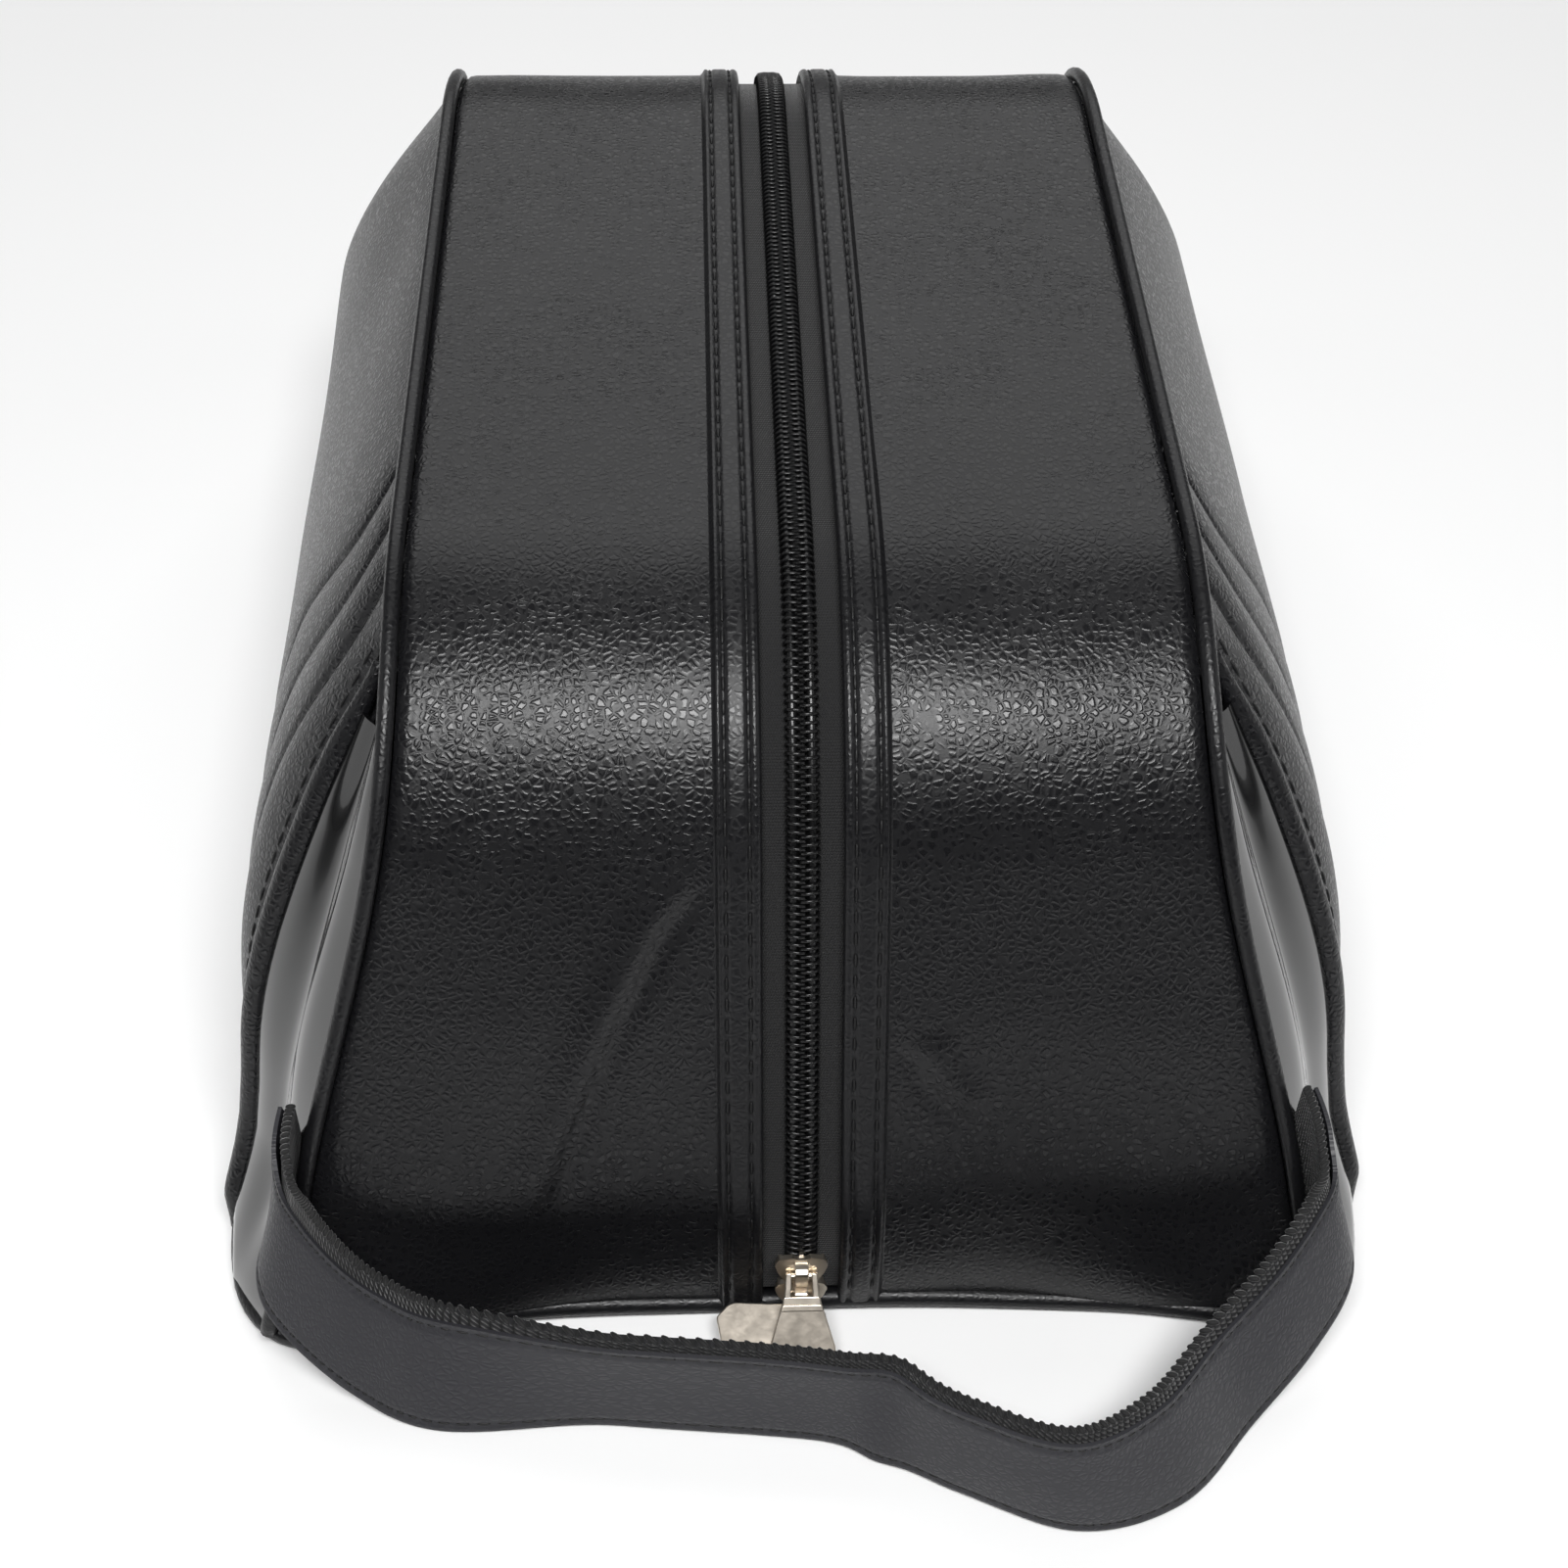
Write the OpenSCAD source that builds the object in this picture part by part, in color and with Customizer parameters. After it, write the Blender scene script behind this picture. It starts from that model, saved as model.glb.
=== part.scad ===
// Golf shoe bag: a soft box with a gusset band and a long zip over the top, two bulging side panels,
// a flat base and a strap handle sewn into the side seams at the near end.
// X is across the bag, -Y is the near (handle) end, +Z is up, and the base rests on Z = 0.

/* [Body] */
// Length of the body from end to end
bag_len = 330; // [320:1:345]
// Height of the body above the floor
bag_h = 130; // [126:1:134]
// Width of the gusset band along the flat top
top_w = 150; // [144:1:156]
// How much wider the gusset band is at the base
flare_w = 52; // [44:1:56]
// Width across the side panels where they bulge most
bulge_w = 224; // [216:1:230]
// Radius of the bend from the flat top to each end
bend_r = 65; // [60:1:68]
// Lean of each end face, in degrees from the floor
end_lean = 64; // [62:1:68]
// Length of the roll at the foot of each end face
roll_len = 34; // [30:1:36]

/* [Materials] */
// Thickness of the outer leather
leather = 1.6; // [1.2:0.1:1.8]
// Thickness of the side padding
foam = 2.6; // [2:0.1:3]
// Thickness of the lining fabric
lining = 0.6; // [0.5:0.1:0.8]
// Diameter of the seam piping
piping_d = 4; // [3:0.5:4]

/* [Zip] */
// Gap between the folded leather edges
zip_gap = 15; // [14:0.5:16]
// Width of the coil chain
chain_w = 6; // [5.6:0.1:6.2]
// Width of the tape on each side, from the chain's middle
tape_w = 14; // [12:0.5:15]
// Width of the folded welt beside the zip
welt_w = 9; // [8:0.5:10]
// Length of one slider
slider_len = 7; // [6.6:0.1:7.4]
// Length of a pull tab below its eye
pull_len = 15; // [13:0.5:15]

/* [Handle] */
// Width of the strap
strap_w = 25; // [22:1:26]
// Thickness of the webbing
webbing = 1.6; // [1.2:0.1:1.8]

/* [Hidden] */

// Foot of the end faces, and the gap kept between neighbouring soft pieces
foot_z = 5;
gap = 0.35;
pipe_r = piping_d / 2;
// Clear width left beside the piping for the panels that it joins
seam_gap = pipe_r + 0.5;
// Half width, and how far in from an end the side panels reach their full bulge
bulge = bulge_w / 2;
corner_depth = 42;
bulge_z = 45;
base_half_w = 115;

// The end face: a roll at the foot, a straight stretch, then the bend
roll_r = roll_len / ((90 - end_lean) * PI / 180);
straight_len = (bag_h - foot_z - roll_r * cos(end_lean) - bend_r * (1 - cos(end_lean))) / sin(end_lean);
bend_len = bend_r * end_lean * PI / 180;
flat_len = bag_len - 2 * (roll_r * (1 - sin(end_lean)) + straight_len * cos(end_lean)
    + bend_r * sin(end_lean));
end_len = roll_len + straight_len + bend_len;
roll_y = -bag_len / 2 + roll_r;
straight_y = -bag_len / 2 + roll_r * (1 - sin(end_lean));
straight_z = foot_z + roll_r * cos(end_lean);

// Angle of the near end face's tangent from the floor, s mm along it from its foot
function lean(s) = s < roll_len ? 90 - s / roll_r * 180 / PI
    : s < roll_len + straight_len ? end_lean
    : max(0, end_lean - (s - roll_len - straight_len) / bend_r * 180 / PI);

// Y and Z of the near end face at s, moved out by o along its normal
function face_y(s, o = 0) = -o * sin(lean(s)) + (
    s < roll_len ? roll_y - roll_r * sin(lean(s))
    : s < roll_len + straight_len ? straight_y + (s - roll_len) * cos(end_lean)
    : s < end_len ? -flat_len / 2 - bend_r * sin(lean(s))
    : s - end_len - flat_len / 2);
function face_z(s, o = 0) = o * cos(lean(s)) + (
    s < roll_len ? foot_z + roll_r * cos(lean(s))
    : s < roll_len + straight_len ? straight_z + (s - roll_len) * sin(end_lean)
    : bag_h - bend_r * (1 - cos(lean(s))));

// Half length of the body at height z, with the surface moved in by o
function half_len(z, o = 0) =
    z < straight_z - o * cos(end_lean)
        ? -roll_y + sqrt(pow(roll_r - o, 2) - pow(max(0, z - foot_z), 2))
    : z < bag_h - bend_r + (bend_r - o) * cos(end_lean)
        ? -straight_y - (z - straight_z) / tan(end_lean) - o / sin(end_lean)
    : flat_len / 2 + sqrt(max(0, pow(bend_r - o, 2) - pow(z - bag_h + bend_r, 2)));

// Half width at height z: of the gusset band, and of the side panels' bulge
function gusset_x(z) = top_w / 2 + flare_w / 2 * pow(sin(90 * max(0, bag_h - z) / bag_h), 2);
function bulge_x(z) = z > bulge_z
    ? top_w / 2 + (bulge - top_w / 2) * sin(90 * (bag_h - z) / (bag_h - bulge_z))
    : bulge + (base_half_w - bulge) * pow((bulge_z - z) / bulge_z, 2);
function side_x(y, z) = gusset_x(z) + max(0, bulge_x(z) - gusset_x(z))
    * sin(90 * min(1, max(0, (half_len(z) - abs(y)) / corner_depth)));

// Front edge of the quilted panel at height z: the patent wedge lies in front of it
function wedge_y(z) = -94 - 47 * pow(max(0, 124 - z) / 118, 0.8);

// Closed solid through a list of rings with the same number of points
module loft(list) {
    n = len(list[0]);
    m = len(list);
    turn = [for (j = [1 : n]) 1] * [for (j = [0 : n - 1]) cross(list[0][j], list[0][(j + 1) % n])];
    rings = turn * (list[1][0] - list[0][0]) > 0
        ? [for (r = list) [for (j = [n - 1 : -1 : 0]) r[j]]] : list;
    sides = [for (i = [0 : m - 2], j = [0 : n - 1])
        [i * n + j, i * n + (j + 1) % n, (i + 1) * n + (j + 1) % n, (i + 1) * n + j]];
    first_cap = [for (j = [n - 1 : -1 : 0]) j];
    last_cap = [for (j = [0 : n - 1]) (m - 1) * n + j];
    polyhedron([for (r = rings) each r], concat([first_cap], sides, [last_cap]), convexity = 6);
}

// Left pieces are the mirror image of right ones
module side(name) {
    if (name == "left") mirror([1, 0, 0]) children();
    else children();
}

// The rear end is the mirror image of the near one
module rear() { mirror([0, 1, 0]) children(); }

// Places along the end face: the straight stretch needs no steps of its own
function face_steps(from, to) = [
    for (s = [from, for (k = [1 : 8]) k * roll_len / 8, roll_len + straight_len,
        for (k = [1 : 10]) roll_len + straight_len + k * bend_len / 10, to])
        if (s >= from && s <= to) s];
function unique(list) = [for (i = [0 : len(list) - 1])
    if (i == 0 || list[i] - list[i - 1] > 0.01) list[i]];

// Strip of the end face between x0 and x1, from outer to inner along the normal;
// a width of 0 at x1 stands for the gusset's own edge
module face_strip(from, to, x0, x1, outer, inner) {
    loft([for (s = unique(face_steps(from, to)))
        let (edge = x1 > 0 ? x1 : gusset_x(face_z(s)) - seam_gap)
        [[x0, face_y(s, outer), face_z(s, outer)], [edge, face_y(s, outer), face_z(s, outer)],
         [edge, face_y(s, inner), face_z(s, inner)], [x0, face_y(s, inner), face_z(s, inner)]]]);
}

// The same strip along the flat top
module top_strip(x0, x1, outer, inner) {
    half = flat_len / 2 - gap / 2;
    translate([x0, -half, bag_h + inner]) cube([x1 - x0, 2 * half, outer - inner]);
}

// Layer of the side between depths d0 and d1 under its surface; mode picks the quilted part behind
// the edge roll or the patent wedge in front of it
function side_levels(low, d) = [for (k = [0 : 14]) low + (bag_h - seam_gap - d - low) * sin(90 * k / 14)];
function row_start(z, d, mode) = mode == "quilted" ? max(-half_len(z, seam_gap + d), wedge_y(z) + 3.6)
    : -half_len(z, seam_gap + d);
function row_end(z, d, mode) = mode == "wedge" ? wedge_y(z) - 3.6 : half_len(z, seam_gap + d);
module side_layer(low, d0, d1, mode) {
    rows = mode == "wedge" ? 6 : 18;
    wedge_tip = 4;
    levels = mode == "wedge"
        ? [for (z = side_levels(low, d0)) if (row_end(z, d0, mode) - row_start(z, d0, mode) > wedge_tip) z]
        : side_levels(low, d0);
    loft([for (z = levels)
        let (y0 = row_start(z, d0, mode), y1 = row_end(z, d0, mode),
             ys = [for (j = [0 : rows]) (y0 + y1) / 2 - (y1 - y0) / 2 * cos(180 * j / rows)])
        concat([for (y = ys) [side_x(y, z) - d0, y, z]],
               [for (j = [rows : -1 : 0]) [side_x(ys[j], z) - d1, ys[j], z]])]);
}

// Round tube along a list of points, with its rings square to the mean direction at each
function unit(v) = v / norm(v);
function tube_ring(p, t, r, n) = let (a = unit(cross(t, [0.31, 0.17, 0.93])), b = cross(t, a))
    [for (k = [0 : n - 1]) p + r * (a * cos(360 * k / n) + b * sin(360 * k / n))];
module tube(points, r, n = 8) {
    last = len(points) - 1;
    loft([for (i = [0 : last])
        tube_ring(points[i], unit(points[min(last, i + 1)] - points[max(0, i - 1)]), r, n)]);
}

/* Base */
// Outline of the base: the ends bow out towards the corners
module base_outline(inset) {
    corner = 28;
    offset(delta = -inset) hull() {
        for (x = [-1, 1], y = [-1, 1])
            translate([x * (base_half_w - corner), y * (bag_len / 2 + 4 - corner)]) circle(corner, $fn = 32);
    }
}

module base_panel() {
    color("#1b1b1d") linear_extrude(leather) base_outline(2 * pipe_r + gap);
}

module base_board() {
    color("#5a5148") translate([0, 0, leather + gap]) linear_extrude(2) base_outline(11);
}

module base_lining() {
    color("#26262a") translate([0, 0, leather + 2 + 2 * gap]) linear_extrude(lining) base_outline(11);
}

module base_piping() {
    color("#151516") difference() {
        linear_extrude(piping_d) base_outline(0);
        translate([0, 0, -1]) linear_extrude(piping_d + 2) base_outline(piping_d);
    }
}

/* Sides */
module side_panel() {
    color("#232326") side_layer(foot_z, 0, leather, "quilted");
}

module side_foam() {
    color("#3a3a3c") side_layer(foot_z + 1, leather + 2 * gap, leather + 2 * gap + foam, "quilted");
}

module side_lining() {
    d = leather + foam + 4 * gap;
    color("#2c2c30") side_layer(foot_z + 2, d, d + lining, "quilted");
}

module patent_panel() {
    color("#0c0c0d") side_layer(foot_z, 0, leather, "wedge");
}

// Padded edge of the quilted panel, standing proud along the wedge
module edge_roll() {
    r = 2.8;
    edge_top = 118;
    color("#1d1d1f") tube([for (k = [0 : 16])
        let (z = foot_z + 1 + (edge_top - foot_z) * k / 16) [side_x(wedge_y(z), z) - r / 3, wedge_y(z), z]], r);
}

// Piping in the seam between the gusset band and a side: up an end, and straight along the flat top
module end_piping() {
    color("#161617") tube([for (s = unique(face_steps(1, end_len - gap / 2)))
        [gusset_x(face_z(s)), face_y(s), face_z(s)]], pipe_r);
}

module upper_piping() {
    color("#161617") translate([top_w / 2, 0, bag_h]) rotate([90, 0, 0])
        cylinder(r = pipe_r, h = flat_len - gap, center = true, $fn = 48);
}

/* Gusset ends */
panel_x0 = zip_gap / 2 + 1;
module end_panel() {
    color("#1f1f22") face_strip(0, end_len - gap / 2, panel_x0, 0, 0, -leather);
}

module end_welt() {
    color("#242427") face_strip(0, end_len - gap / 2, zip_gap / 2, zip_gap / 2 + welt_w, gap + 1, gap / 2);
}

// Depths under the surface at which the zip's tape and coil lie
tape_out = -leather - gap;
tape_in = tape_out - 0.6;
coil_out = 0.1;
coil_gap = 0.6;

module end_tape() {
    color("#121213") face_strip(0.5, end_len - gap / 2, coil_gap, tape_w, tape_out, tape_in);
}

module end_coil() {
    color("#0e0e0f") face_strip(0.5, end_len - gap / 2, coil_gap, chain_w / 2, coil_out, tape_out + 0.2);
}

// Sewn stop across the coil's end, under the lower slider
module zip_stop() {
    color("#141415") translate([-chain_w / 2, -bag_len / 2 - 0.8, 4.2]) cube([chain_w, 4, 0.9]);
}

/* Opening halves: they turn about the seam piping */
module top_panel() {
    color("#2b2b2f") top_strip(panel_x0, top_w / 2 - seam_gap, 0, -leather);
}

module top_welt() {
    color("#2f2f33") top_strip(zip_gap / 2, zip_gap / 2 + welt_w, gap + 1, gap / 2);
}

module top_tape() {
    color("#121213") top_strip(coil_gap, tape_w, tape_out, tape_in);
}

module top_coil() {
    color("#0e0e0f") top_strip(coil_gap, chain_w / 2, coil_out, tape_out + 0.2);
}

/* Sliders: they ride round the roll at the foot of the near end */
slider_half_w = 4.8;
plate = 1.2;
flange = 1;
slider_clear = 0.35;
crown_r = 2.4;
crown_bore_r = 1.4;
crown_w = 2.2;
bar_r = 0.65;
lower_s = 0.4;
upper_s = lower_s + slider_len + gap;
plate_in = tape_in - slider_clear - plate;
plate_out = coil_out + slider_clear;
// The crown stands low on the slider, its bore clear of the plate
crown_s = 2.6;
bar_out = plate_out + plate + 1;

// Solid of revolution about the roll's axis, from s = from to s = to
module roll_sector(from, to) {
    per_mm = 180 / PI / roll_r;
    translate([0, roll_y, foot_z]) rotate([0, 90, 0]) rotate([0, 0, -90 - to * per_mm])
        rotate_extrude(angle = (to - from) * per_mm, $fn = 180) children();
}

// Two plates with a flange down each side of the coil, a post between the coil's halves and the crown
module slider(s) {
    post_w = 0.5;
    post_len = 2;
    color("#c9c2b4") difference() {
        union() {
            roll_sector(s, s + slider_len) {
                translate([roll_r + plate_in, -slider_half_w]) square([plate, 2 * slider_half_w]);
                translate([roll_r + plate_out, -slider_half_w]) square([plate, 2 * slider_half_w]);
                for (x = [-slider_half_w, slider_half_w - flange])
                    translate([roll_r + plate_out - flange, x]) square([flange + plate / 2, flange]);
            }
            roll_sector(s + slider_len - post_len, s + slider_len)
                translate([roll_r + plate_in, -post_w / 2]) square([plate_out - plate_in + plate, post_w]);
            translate([-crown_w / 2, face_y(s + crown_s, bar_out), face_z(s + crown_s, bar_out)])
                rotate([0, 90, 0]) cylinder(r = crown_r, h = crown_w, $fn = 48);
        }
        translate([-crown_w, face_y(s + crown_s, bar_out), face_z(s + crown_s, bar_out)])
            rotate([0, 90, 0]) cylinder(r = crown_bore_r, h = 2 * crown_w, $fn = 48);
    }
}

// Pull tab on its bar, which lies in the crown of the slider at s; tilt is its slope down to the
// floor and yaw turns the tab to the left
module pull_tab(s, tilt, yaw) {
    arm_x = 2;
    arm_len = 5;
    thick = 1.2;
    color("#d3ccbe") translate([0, face_y(s + crown_s, bar_out), face_z(s + crown_s, bar_out)])
        rotate([tilt, 0, 0]) {
            rotate([0, 90, 0]) cylinder(r = bar_r, h = 2 * arm_x + 2 * thick, center = true, $fn = 32);
            for (x = [-arm_x - thick, arm_x])
                translate([x, -arm_len, -thick / 2]) cube([thick, arm_len, thick]);
            translate([-arm_x - thick, -arm_len - thick / 2, -thick / 2])
                cube([2 * (arm_x + thick), thick, thick]);
            translate([0, -arm_len, -thick / 2]) rotate([0, 0, -yaw]) linear_extrude(thick)
                polygon([[-1.8, 0.4], [1.8, 0.4], [5.8, 4 - pull_len], [4.2, -pull_len],
                    [-4.2, -pull_len], [-5.8, 4 - pull_len]]);
        }
}

/* Handle: a strap on its edge that loops out in front of the near end */
// Flex line of the handle, in front of the side seams
flex_y = -166;
flex_z = 38;
flex_x = 102.4;
// Strap route: X, Y and the height of the lower edge
strap_route = [[-102.4, -160, 26], [-101.5, -168, 20], [-95, -173, 12], [-84, -177, 3], [-70, -182, 0],
    [-40, -185, 0], [-8, -189, 0], [12, -193, 0], [30, -202, 0], [50, -209, 0], [68, -203, 0],
    [82, -189, 1], [95, -178, 9], [103, -169, 19], [102.4, -160, 26]];

// Smooth curve through the route's points, with u counted in points
function along(p, u) = let (
    n = len(p) - 1, i = min(n - 1, floor(u)), t = u - i,
    a = p[max(0, i - 1)], b = p[i], c = p[i + 1], d = p[min(n, i + 2)])
    0.5 * (2 * b + (c - a) * t + (2 * a - 5 * b + 4 * c - d) * t * t + (3 * b - a - 3 * c + d) * t * t * t);
function strap_ring(p, q, a, b) = let (t = unit([q[0] - p[0], q[1] - p[1]]), n = [t[1], -t[0]])
    [[p[0] + n[0] * a, p[1] + n[1] * a, max(0, p[2])], [p[0] + n[0] * b, p[1] + n[1] * b, max(0, p[2])],
     [p[0] + n[0] * b, p[1] + n[1] * b, max(0, p[2]) + strap_w],
     [p[0] + n[0] * a, p[1] + n[1] * a, max(0, p[2]) + strap_w]];

// Layer of the strap between a and b, clear of the round tab ends that it turns about
module strap_layer(a, b) {
    steps = 5;
    count = (len(strap_route) - 1) * steps;
    difference() {
        loft([for (k = [0 : count]) let (u = k / steps)
            strap_ring(along(strap_route, u), along(strap_route, min(count / steps, u + 0.02)
                + (k == count ? 0.02 : 0)), a, b)]);
        translate([-bag_len, flex_y, flex_z]) rotate([0, 90, 0])
            cylinder(r = strap_w / 2 + 0.6, h = 2 * bag_len, $fn = 64);
        translate([-bag_len, flex_y, flex_z - strap_w]) cube([2 * bag_len, strap_w, 2 * strap_w]);
    }
}

module handle_webbing() {
    color("#101011") strap_layer(-webbing - 0.05, -0.05);
}

module handle_facing() {
    color("#2a2a2d") strap_layer(0.05, leather + 0.05);
}

// Strap end sewn into the side seam, with a round end about the flex line
module handle_tab() {
    thick = webbing + leather;
    color("#222225") translate([flex_x - thick / 2, 0, 0]) rotate([90, 0, 90]) linear_extrude(thick) union() {
        translate([flex_y, flex_z]) circle(strap_w / 2, $fn = 64);
        translate([flex_y, flex_z - strap_w / 2]) square([6.5, strap_w]);
    }
}

base_panel();
base_board();
base_lining();
base_piping();
side("left") side_panel();  // side_panel_left
side("right") side_panel();  // side_panel_right
side("left") side_foam();  // side_foam_left
side("right") side_foam();  // side_foam_right
side("left") side_lining();  // side_lining_left
side("right") side_lining();  // side_lining_right
side("left") patent_panel();  // patent_panel_left
side("right") patent_panel();  // patent_panel_right
side("left") edge_roll();  // edge_roll_left
side("right") edge_roll();  // edge_roll_right
side("left") upper_piping();  // upper_piping_left
side("right") upper_piping();  // upper_piping_right
side("left") end_piping();  // front_piping_left
side("right") end_piping();  // front_piping_right
rear() side("left") end_piping();  // rear_piping_left
rear() side("right") end_piping();  // rear_piping_right
side("left") end_panel();  // front_panel_left
side("right") end_panel();  // front_panel_right
rear() side("left") end_panel();  // rear_panel_left
rear() side("right") end_panel();  // rear_panel_right
side("left") end_welt();  // front_welt_left
side("right") end_welt();  // front_welt_right
rear() side("left") end_welt();  // rear_welt_left
rear() side("right") end_welt();  // rear_welt_right
side("left") end_tape();  // front_tape_left
side("right") end_tape();  // front_tape_right
rear() side("left") end_tape();  // rear_tape_left
rear() side("right") end_tape();  // rear_tape_right
side("left") end_coil();  // front_coil_left
side("right") end_coil();  // front_coil_right
rear() side("left") end_coil();  // rear_coil_left
rear() side("right") end_coil();  // rear_coil_right
zip_stop();  // zip_stop_front
rear() zip_stop();  // zip_stop_rear
side("left") handle_tab();  // handle_tab_left
side("right") handle_tab();  // handle_tab_right
side("left") top_panel();  // top_panel_left
side("left") top_welt();  // top_welt_left
side("left") top_tape();  // top_tape_left
side("left") top_coil();  // top_coil_left
side("right") top_panel();  // top_panel_right
side("right") top_welt();  // top_welt_right
side("right") top_tape();  // top_tape_right
side("right") top_coil();  // top_coil_right
slider(upper_s);  // slider_upper
pull_tab(upper_s, 40, 0);  // pull_tab_upper
slider(lower_s);  // slider_lower
pull_tab(lower_s, 30, 72);  // pull_tab_lower
handle_webbing();
handle_facing();
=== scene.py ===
import logging
import math
from dataclasses import dataclass
from enum import Enum
from typing import Callable, Iterable, Sequence

import bmesh
import bpy
from mathutils import Matrix, Vector, noise


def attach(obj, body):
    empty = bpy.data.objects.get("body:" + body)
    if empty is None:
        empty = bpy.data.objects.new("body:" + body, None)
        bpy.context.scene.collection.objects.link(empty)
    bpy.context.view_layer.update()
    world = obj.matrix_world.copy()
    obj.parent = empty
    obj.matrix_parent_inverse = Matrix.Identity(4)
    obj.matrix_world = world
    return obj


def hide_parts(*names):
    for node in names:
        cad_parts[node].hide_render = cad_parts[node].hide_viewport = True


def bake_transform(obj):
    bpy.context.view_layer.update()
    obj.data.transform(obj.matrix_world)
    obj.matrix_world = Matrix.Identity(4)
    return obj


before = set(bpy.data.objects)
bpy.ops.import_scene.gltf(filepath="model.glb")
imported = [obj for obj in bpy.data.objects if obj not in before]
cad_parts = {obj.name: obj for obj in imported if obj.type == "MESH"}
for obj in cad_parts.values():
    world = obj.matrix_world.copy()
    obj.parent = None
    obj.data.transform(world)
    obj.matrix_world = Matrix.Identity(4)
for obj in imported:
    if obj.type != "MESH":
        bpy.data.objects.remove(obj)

Piece = bpy.types.Object
Mesh = bmesh.types.BMesh
Material = bpy.types.Material
Tree = bpy.types.NodeTree
Node = bpy.types.Node
Socket = bpy.types.NodeSocket
Pair = tuple[float, float]
Triple = tuple[float, float, float]
Surface = Callable[[float, float], Vector]      # a point at (u, v), each from 0 to 1
Chart = Callable[[float, float], Pair]          # pattern coordinates at (u, v), in metres
log = logging.getLogger("golf_shoe_bag")
MM = 0.001
THREAD_R = 0.34 * MM


class Side(Enum):
    """Left and right of the bag, seen from its handle end."""

    LEFT = -1
    RIGHT = 1

    @property
    def word(self) -> str:
        """The side's name in node and body names."""
        return self.name.lower()


class End(Enum):
    """The end with the handle, and the one away from it."""

    NEAR = -1
    FAR = 1

    @property
    def node_word(self) -> str:
        """The end's name in the frame's nodes."""
        return "front" if self is End.NEAR else "rear"


# ---- the bag's form

@dataclass(frozen=True)
class BagForm:
    """The bag's outer shape, in metres: the same driving sizes as the frame's panels."""

    length: float = 330 * MM
    height: float = 130 * MM
    top_w: float = 150 * MM
    flare_w: float = 52 * MM
    bulge: float = 112 * MM
    base_half_w: float = 115 * MM
    bend_r: float = 65 * MM
    end_lean: float = math.radians(64)
    roll_len: float = 34 * MM
    foot_z: float = 5 * MM
    bulge_z: float = 45 * MM
    corner_depth: float = 42 * MM

    @property
    def roll_r(self) -> float:
        """Radius of the roll at the foot of each end."""
        return self.roll_len / (math.pi / 2 - self.end_lean)

    @property
    def straight_len(self) -> float:
        """Length of the straight stretch of each end face."""
        rise = self.height - self.foot_z - self.roll_r * math.cos(self.end_lean)
        return (rise - self.bend_r * (1 - math.cos(self.end_lean))) / math.sin(self.end_lean)

    @property
    def flat_half(self) -> float:
        """Half the length of the flat top."""
        used = self.roll_r * (1 - math.sin(self.end_lean)) + self.straight_len * math.cos(self.end_lean)
        return self.length / 2 - used - self.bend_r * math.sin(self.end_lean)

    @property
    def end_len(self) -> float:
        """Arc length from an end's foot to the start of the flat top."""
        return self.roll_len + self.straight_len + self.bend_r * self.end_lean

    @property
    def half_arc(self) -> float:
        """Arc length from an end's foot to the middle of the flat top."""
        return self.end_len + self.flat_half

    def lean(self, s: float) -> float:
        """Angle of the surface's tangent from the floor at arc length s from the foot."""
        if s < self.roll_len:
            return math.pi / 2 - max(s, 0) / self.roll_r
        if s < self.roll_len + self.straight_len:
            return self.end_lean
        return max(0.0, self.end_lean - (s - self.roll_len - self.straight_len) / self.bend_r)

    def face(self, s: float, out: float = 0.0) -> Pair:
        """Y and Z of the near half's surface.

        Args:
            s: Arc length from the foot of the end face.
            out: Distance outwards along the surface's normal.

        Returns:
            The point's Y and Z.
        """
        a = self.lean(s)
        y0 = -self.length / 2 + self.roll_r * (1 - math.sin(self.end_lean))
        z0 = self.foot_z + self.roll_r * math.cos(self.end_lean)
        if s < self.roll_len:
            y = -self.length / 2 + self.roll_r * (1 - math.sin(a))
            z = self.foot_z + self.roll_r * math.cos(a) + min(s, 0.0)
        elif s < self.roll_len + self.straight_len:
            y = y0 + (s - self.roll_len) * math.cos(self.end_lean)
            z = z0 + (s - self.roll_len) * math.sin(self.end_lean)
        elif s < self.end_len:
            y = -self.flat_half - self.bend_r * math.sin(a)
            z = self.height - self.bend_r * (1 - math.cos(a))
        else:
            y, z = s - self.end_len - self.flat_half, self.height
        return y - out * math.sin(a), z + out * math.cos(a)

    def half_len(self, z: float, inset: float = 0.0) -> float:
        """Half length of the body at height z, with its surface moved in by inset."""
        y0 = -self.length / 2 + self.roll_r * (1 - math.sin(self.end_lean))
        z0 = self.foot_z + self.roll_r * math.cos(self.end_lean)
        if z < z0 - inset * math.cos(self.end_lean):
            drop = max(0.0, z - self.foot_z)
            return self.length / 2 - self.roll_r + math.sqrt((self.roll_r - inset) ** 2 - drop ** 2)
        if z < self.height - self.bend_r + (self.bend_r - inset) * math.cos(self.end_lean):
            return -y0 - (z - z0) / math.tan(self.end_lean) - inset / math.sin(self.end_lean)
        up = z - self.height + self.bend_r
        return self.flat_half + math.sqrt(max(0.0, (self.bend_r - inset) ** 2 - up ** 2))

    def gusset_x(self, z: float) -> float:
        """Half width of the gusset band at height z."""
        t = min(1.0, max(0.0, (self.height - z) / self.height))
        return self.top_w / 2 + self.flare_w / 2 * math.sin(math.pi / 2 * t) ** 2

    def bulge_x(self, z: float) -> float:
        """Half width of the side panels' bulge at height z."""
        if z > self.bulge_z:
            t = (self.height - z) / (self.height - self.bulge_z)
            return self.top_w / 2 + (self.bulge - self.top_w / 2) * math.sin(math.pi / 2 * t)
        t = (self.bulge_z - z) / self.bulge_z
        return self.bulge + (self.base_half_w - self.bulge) * t * t

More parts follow.
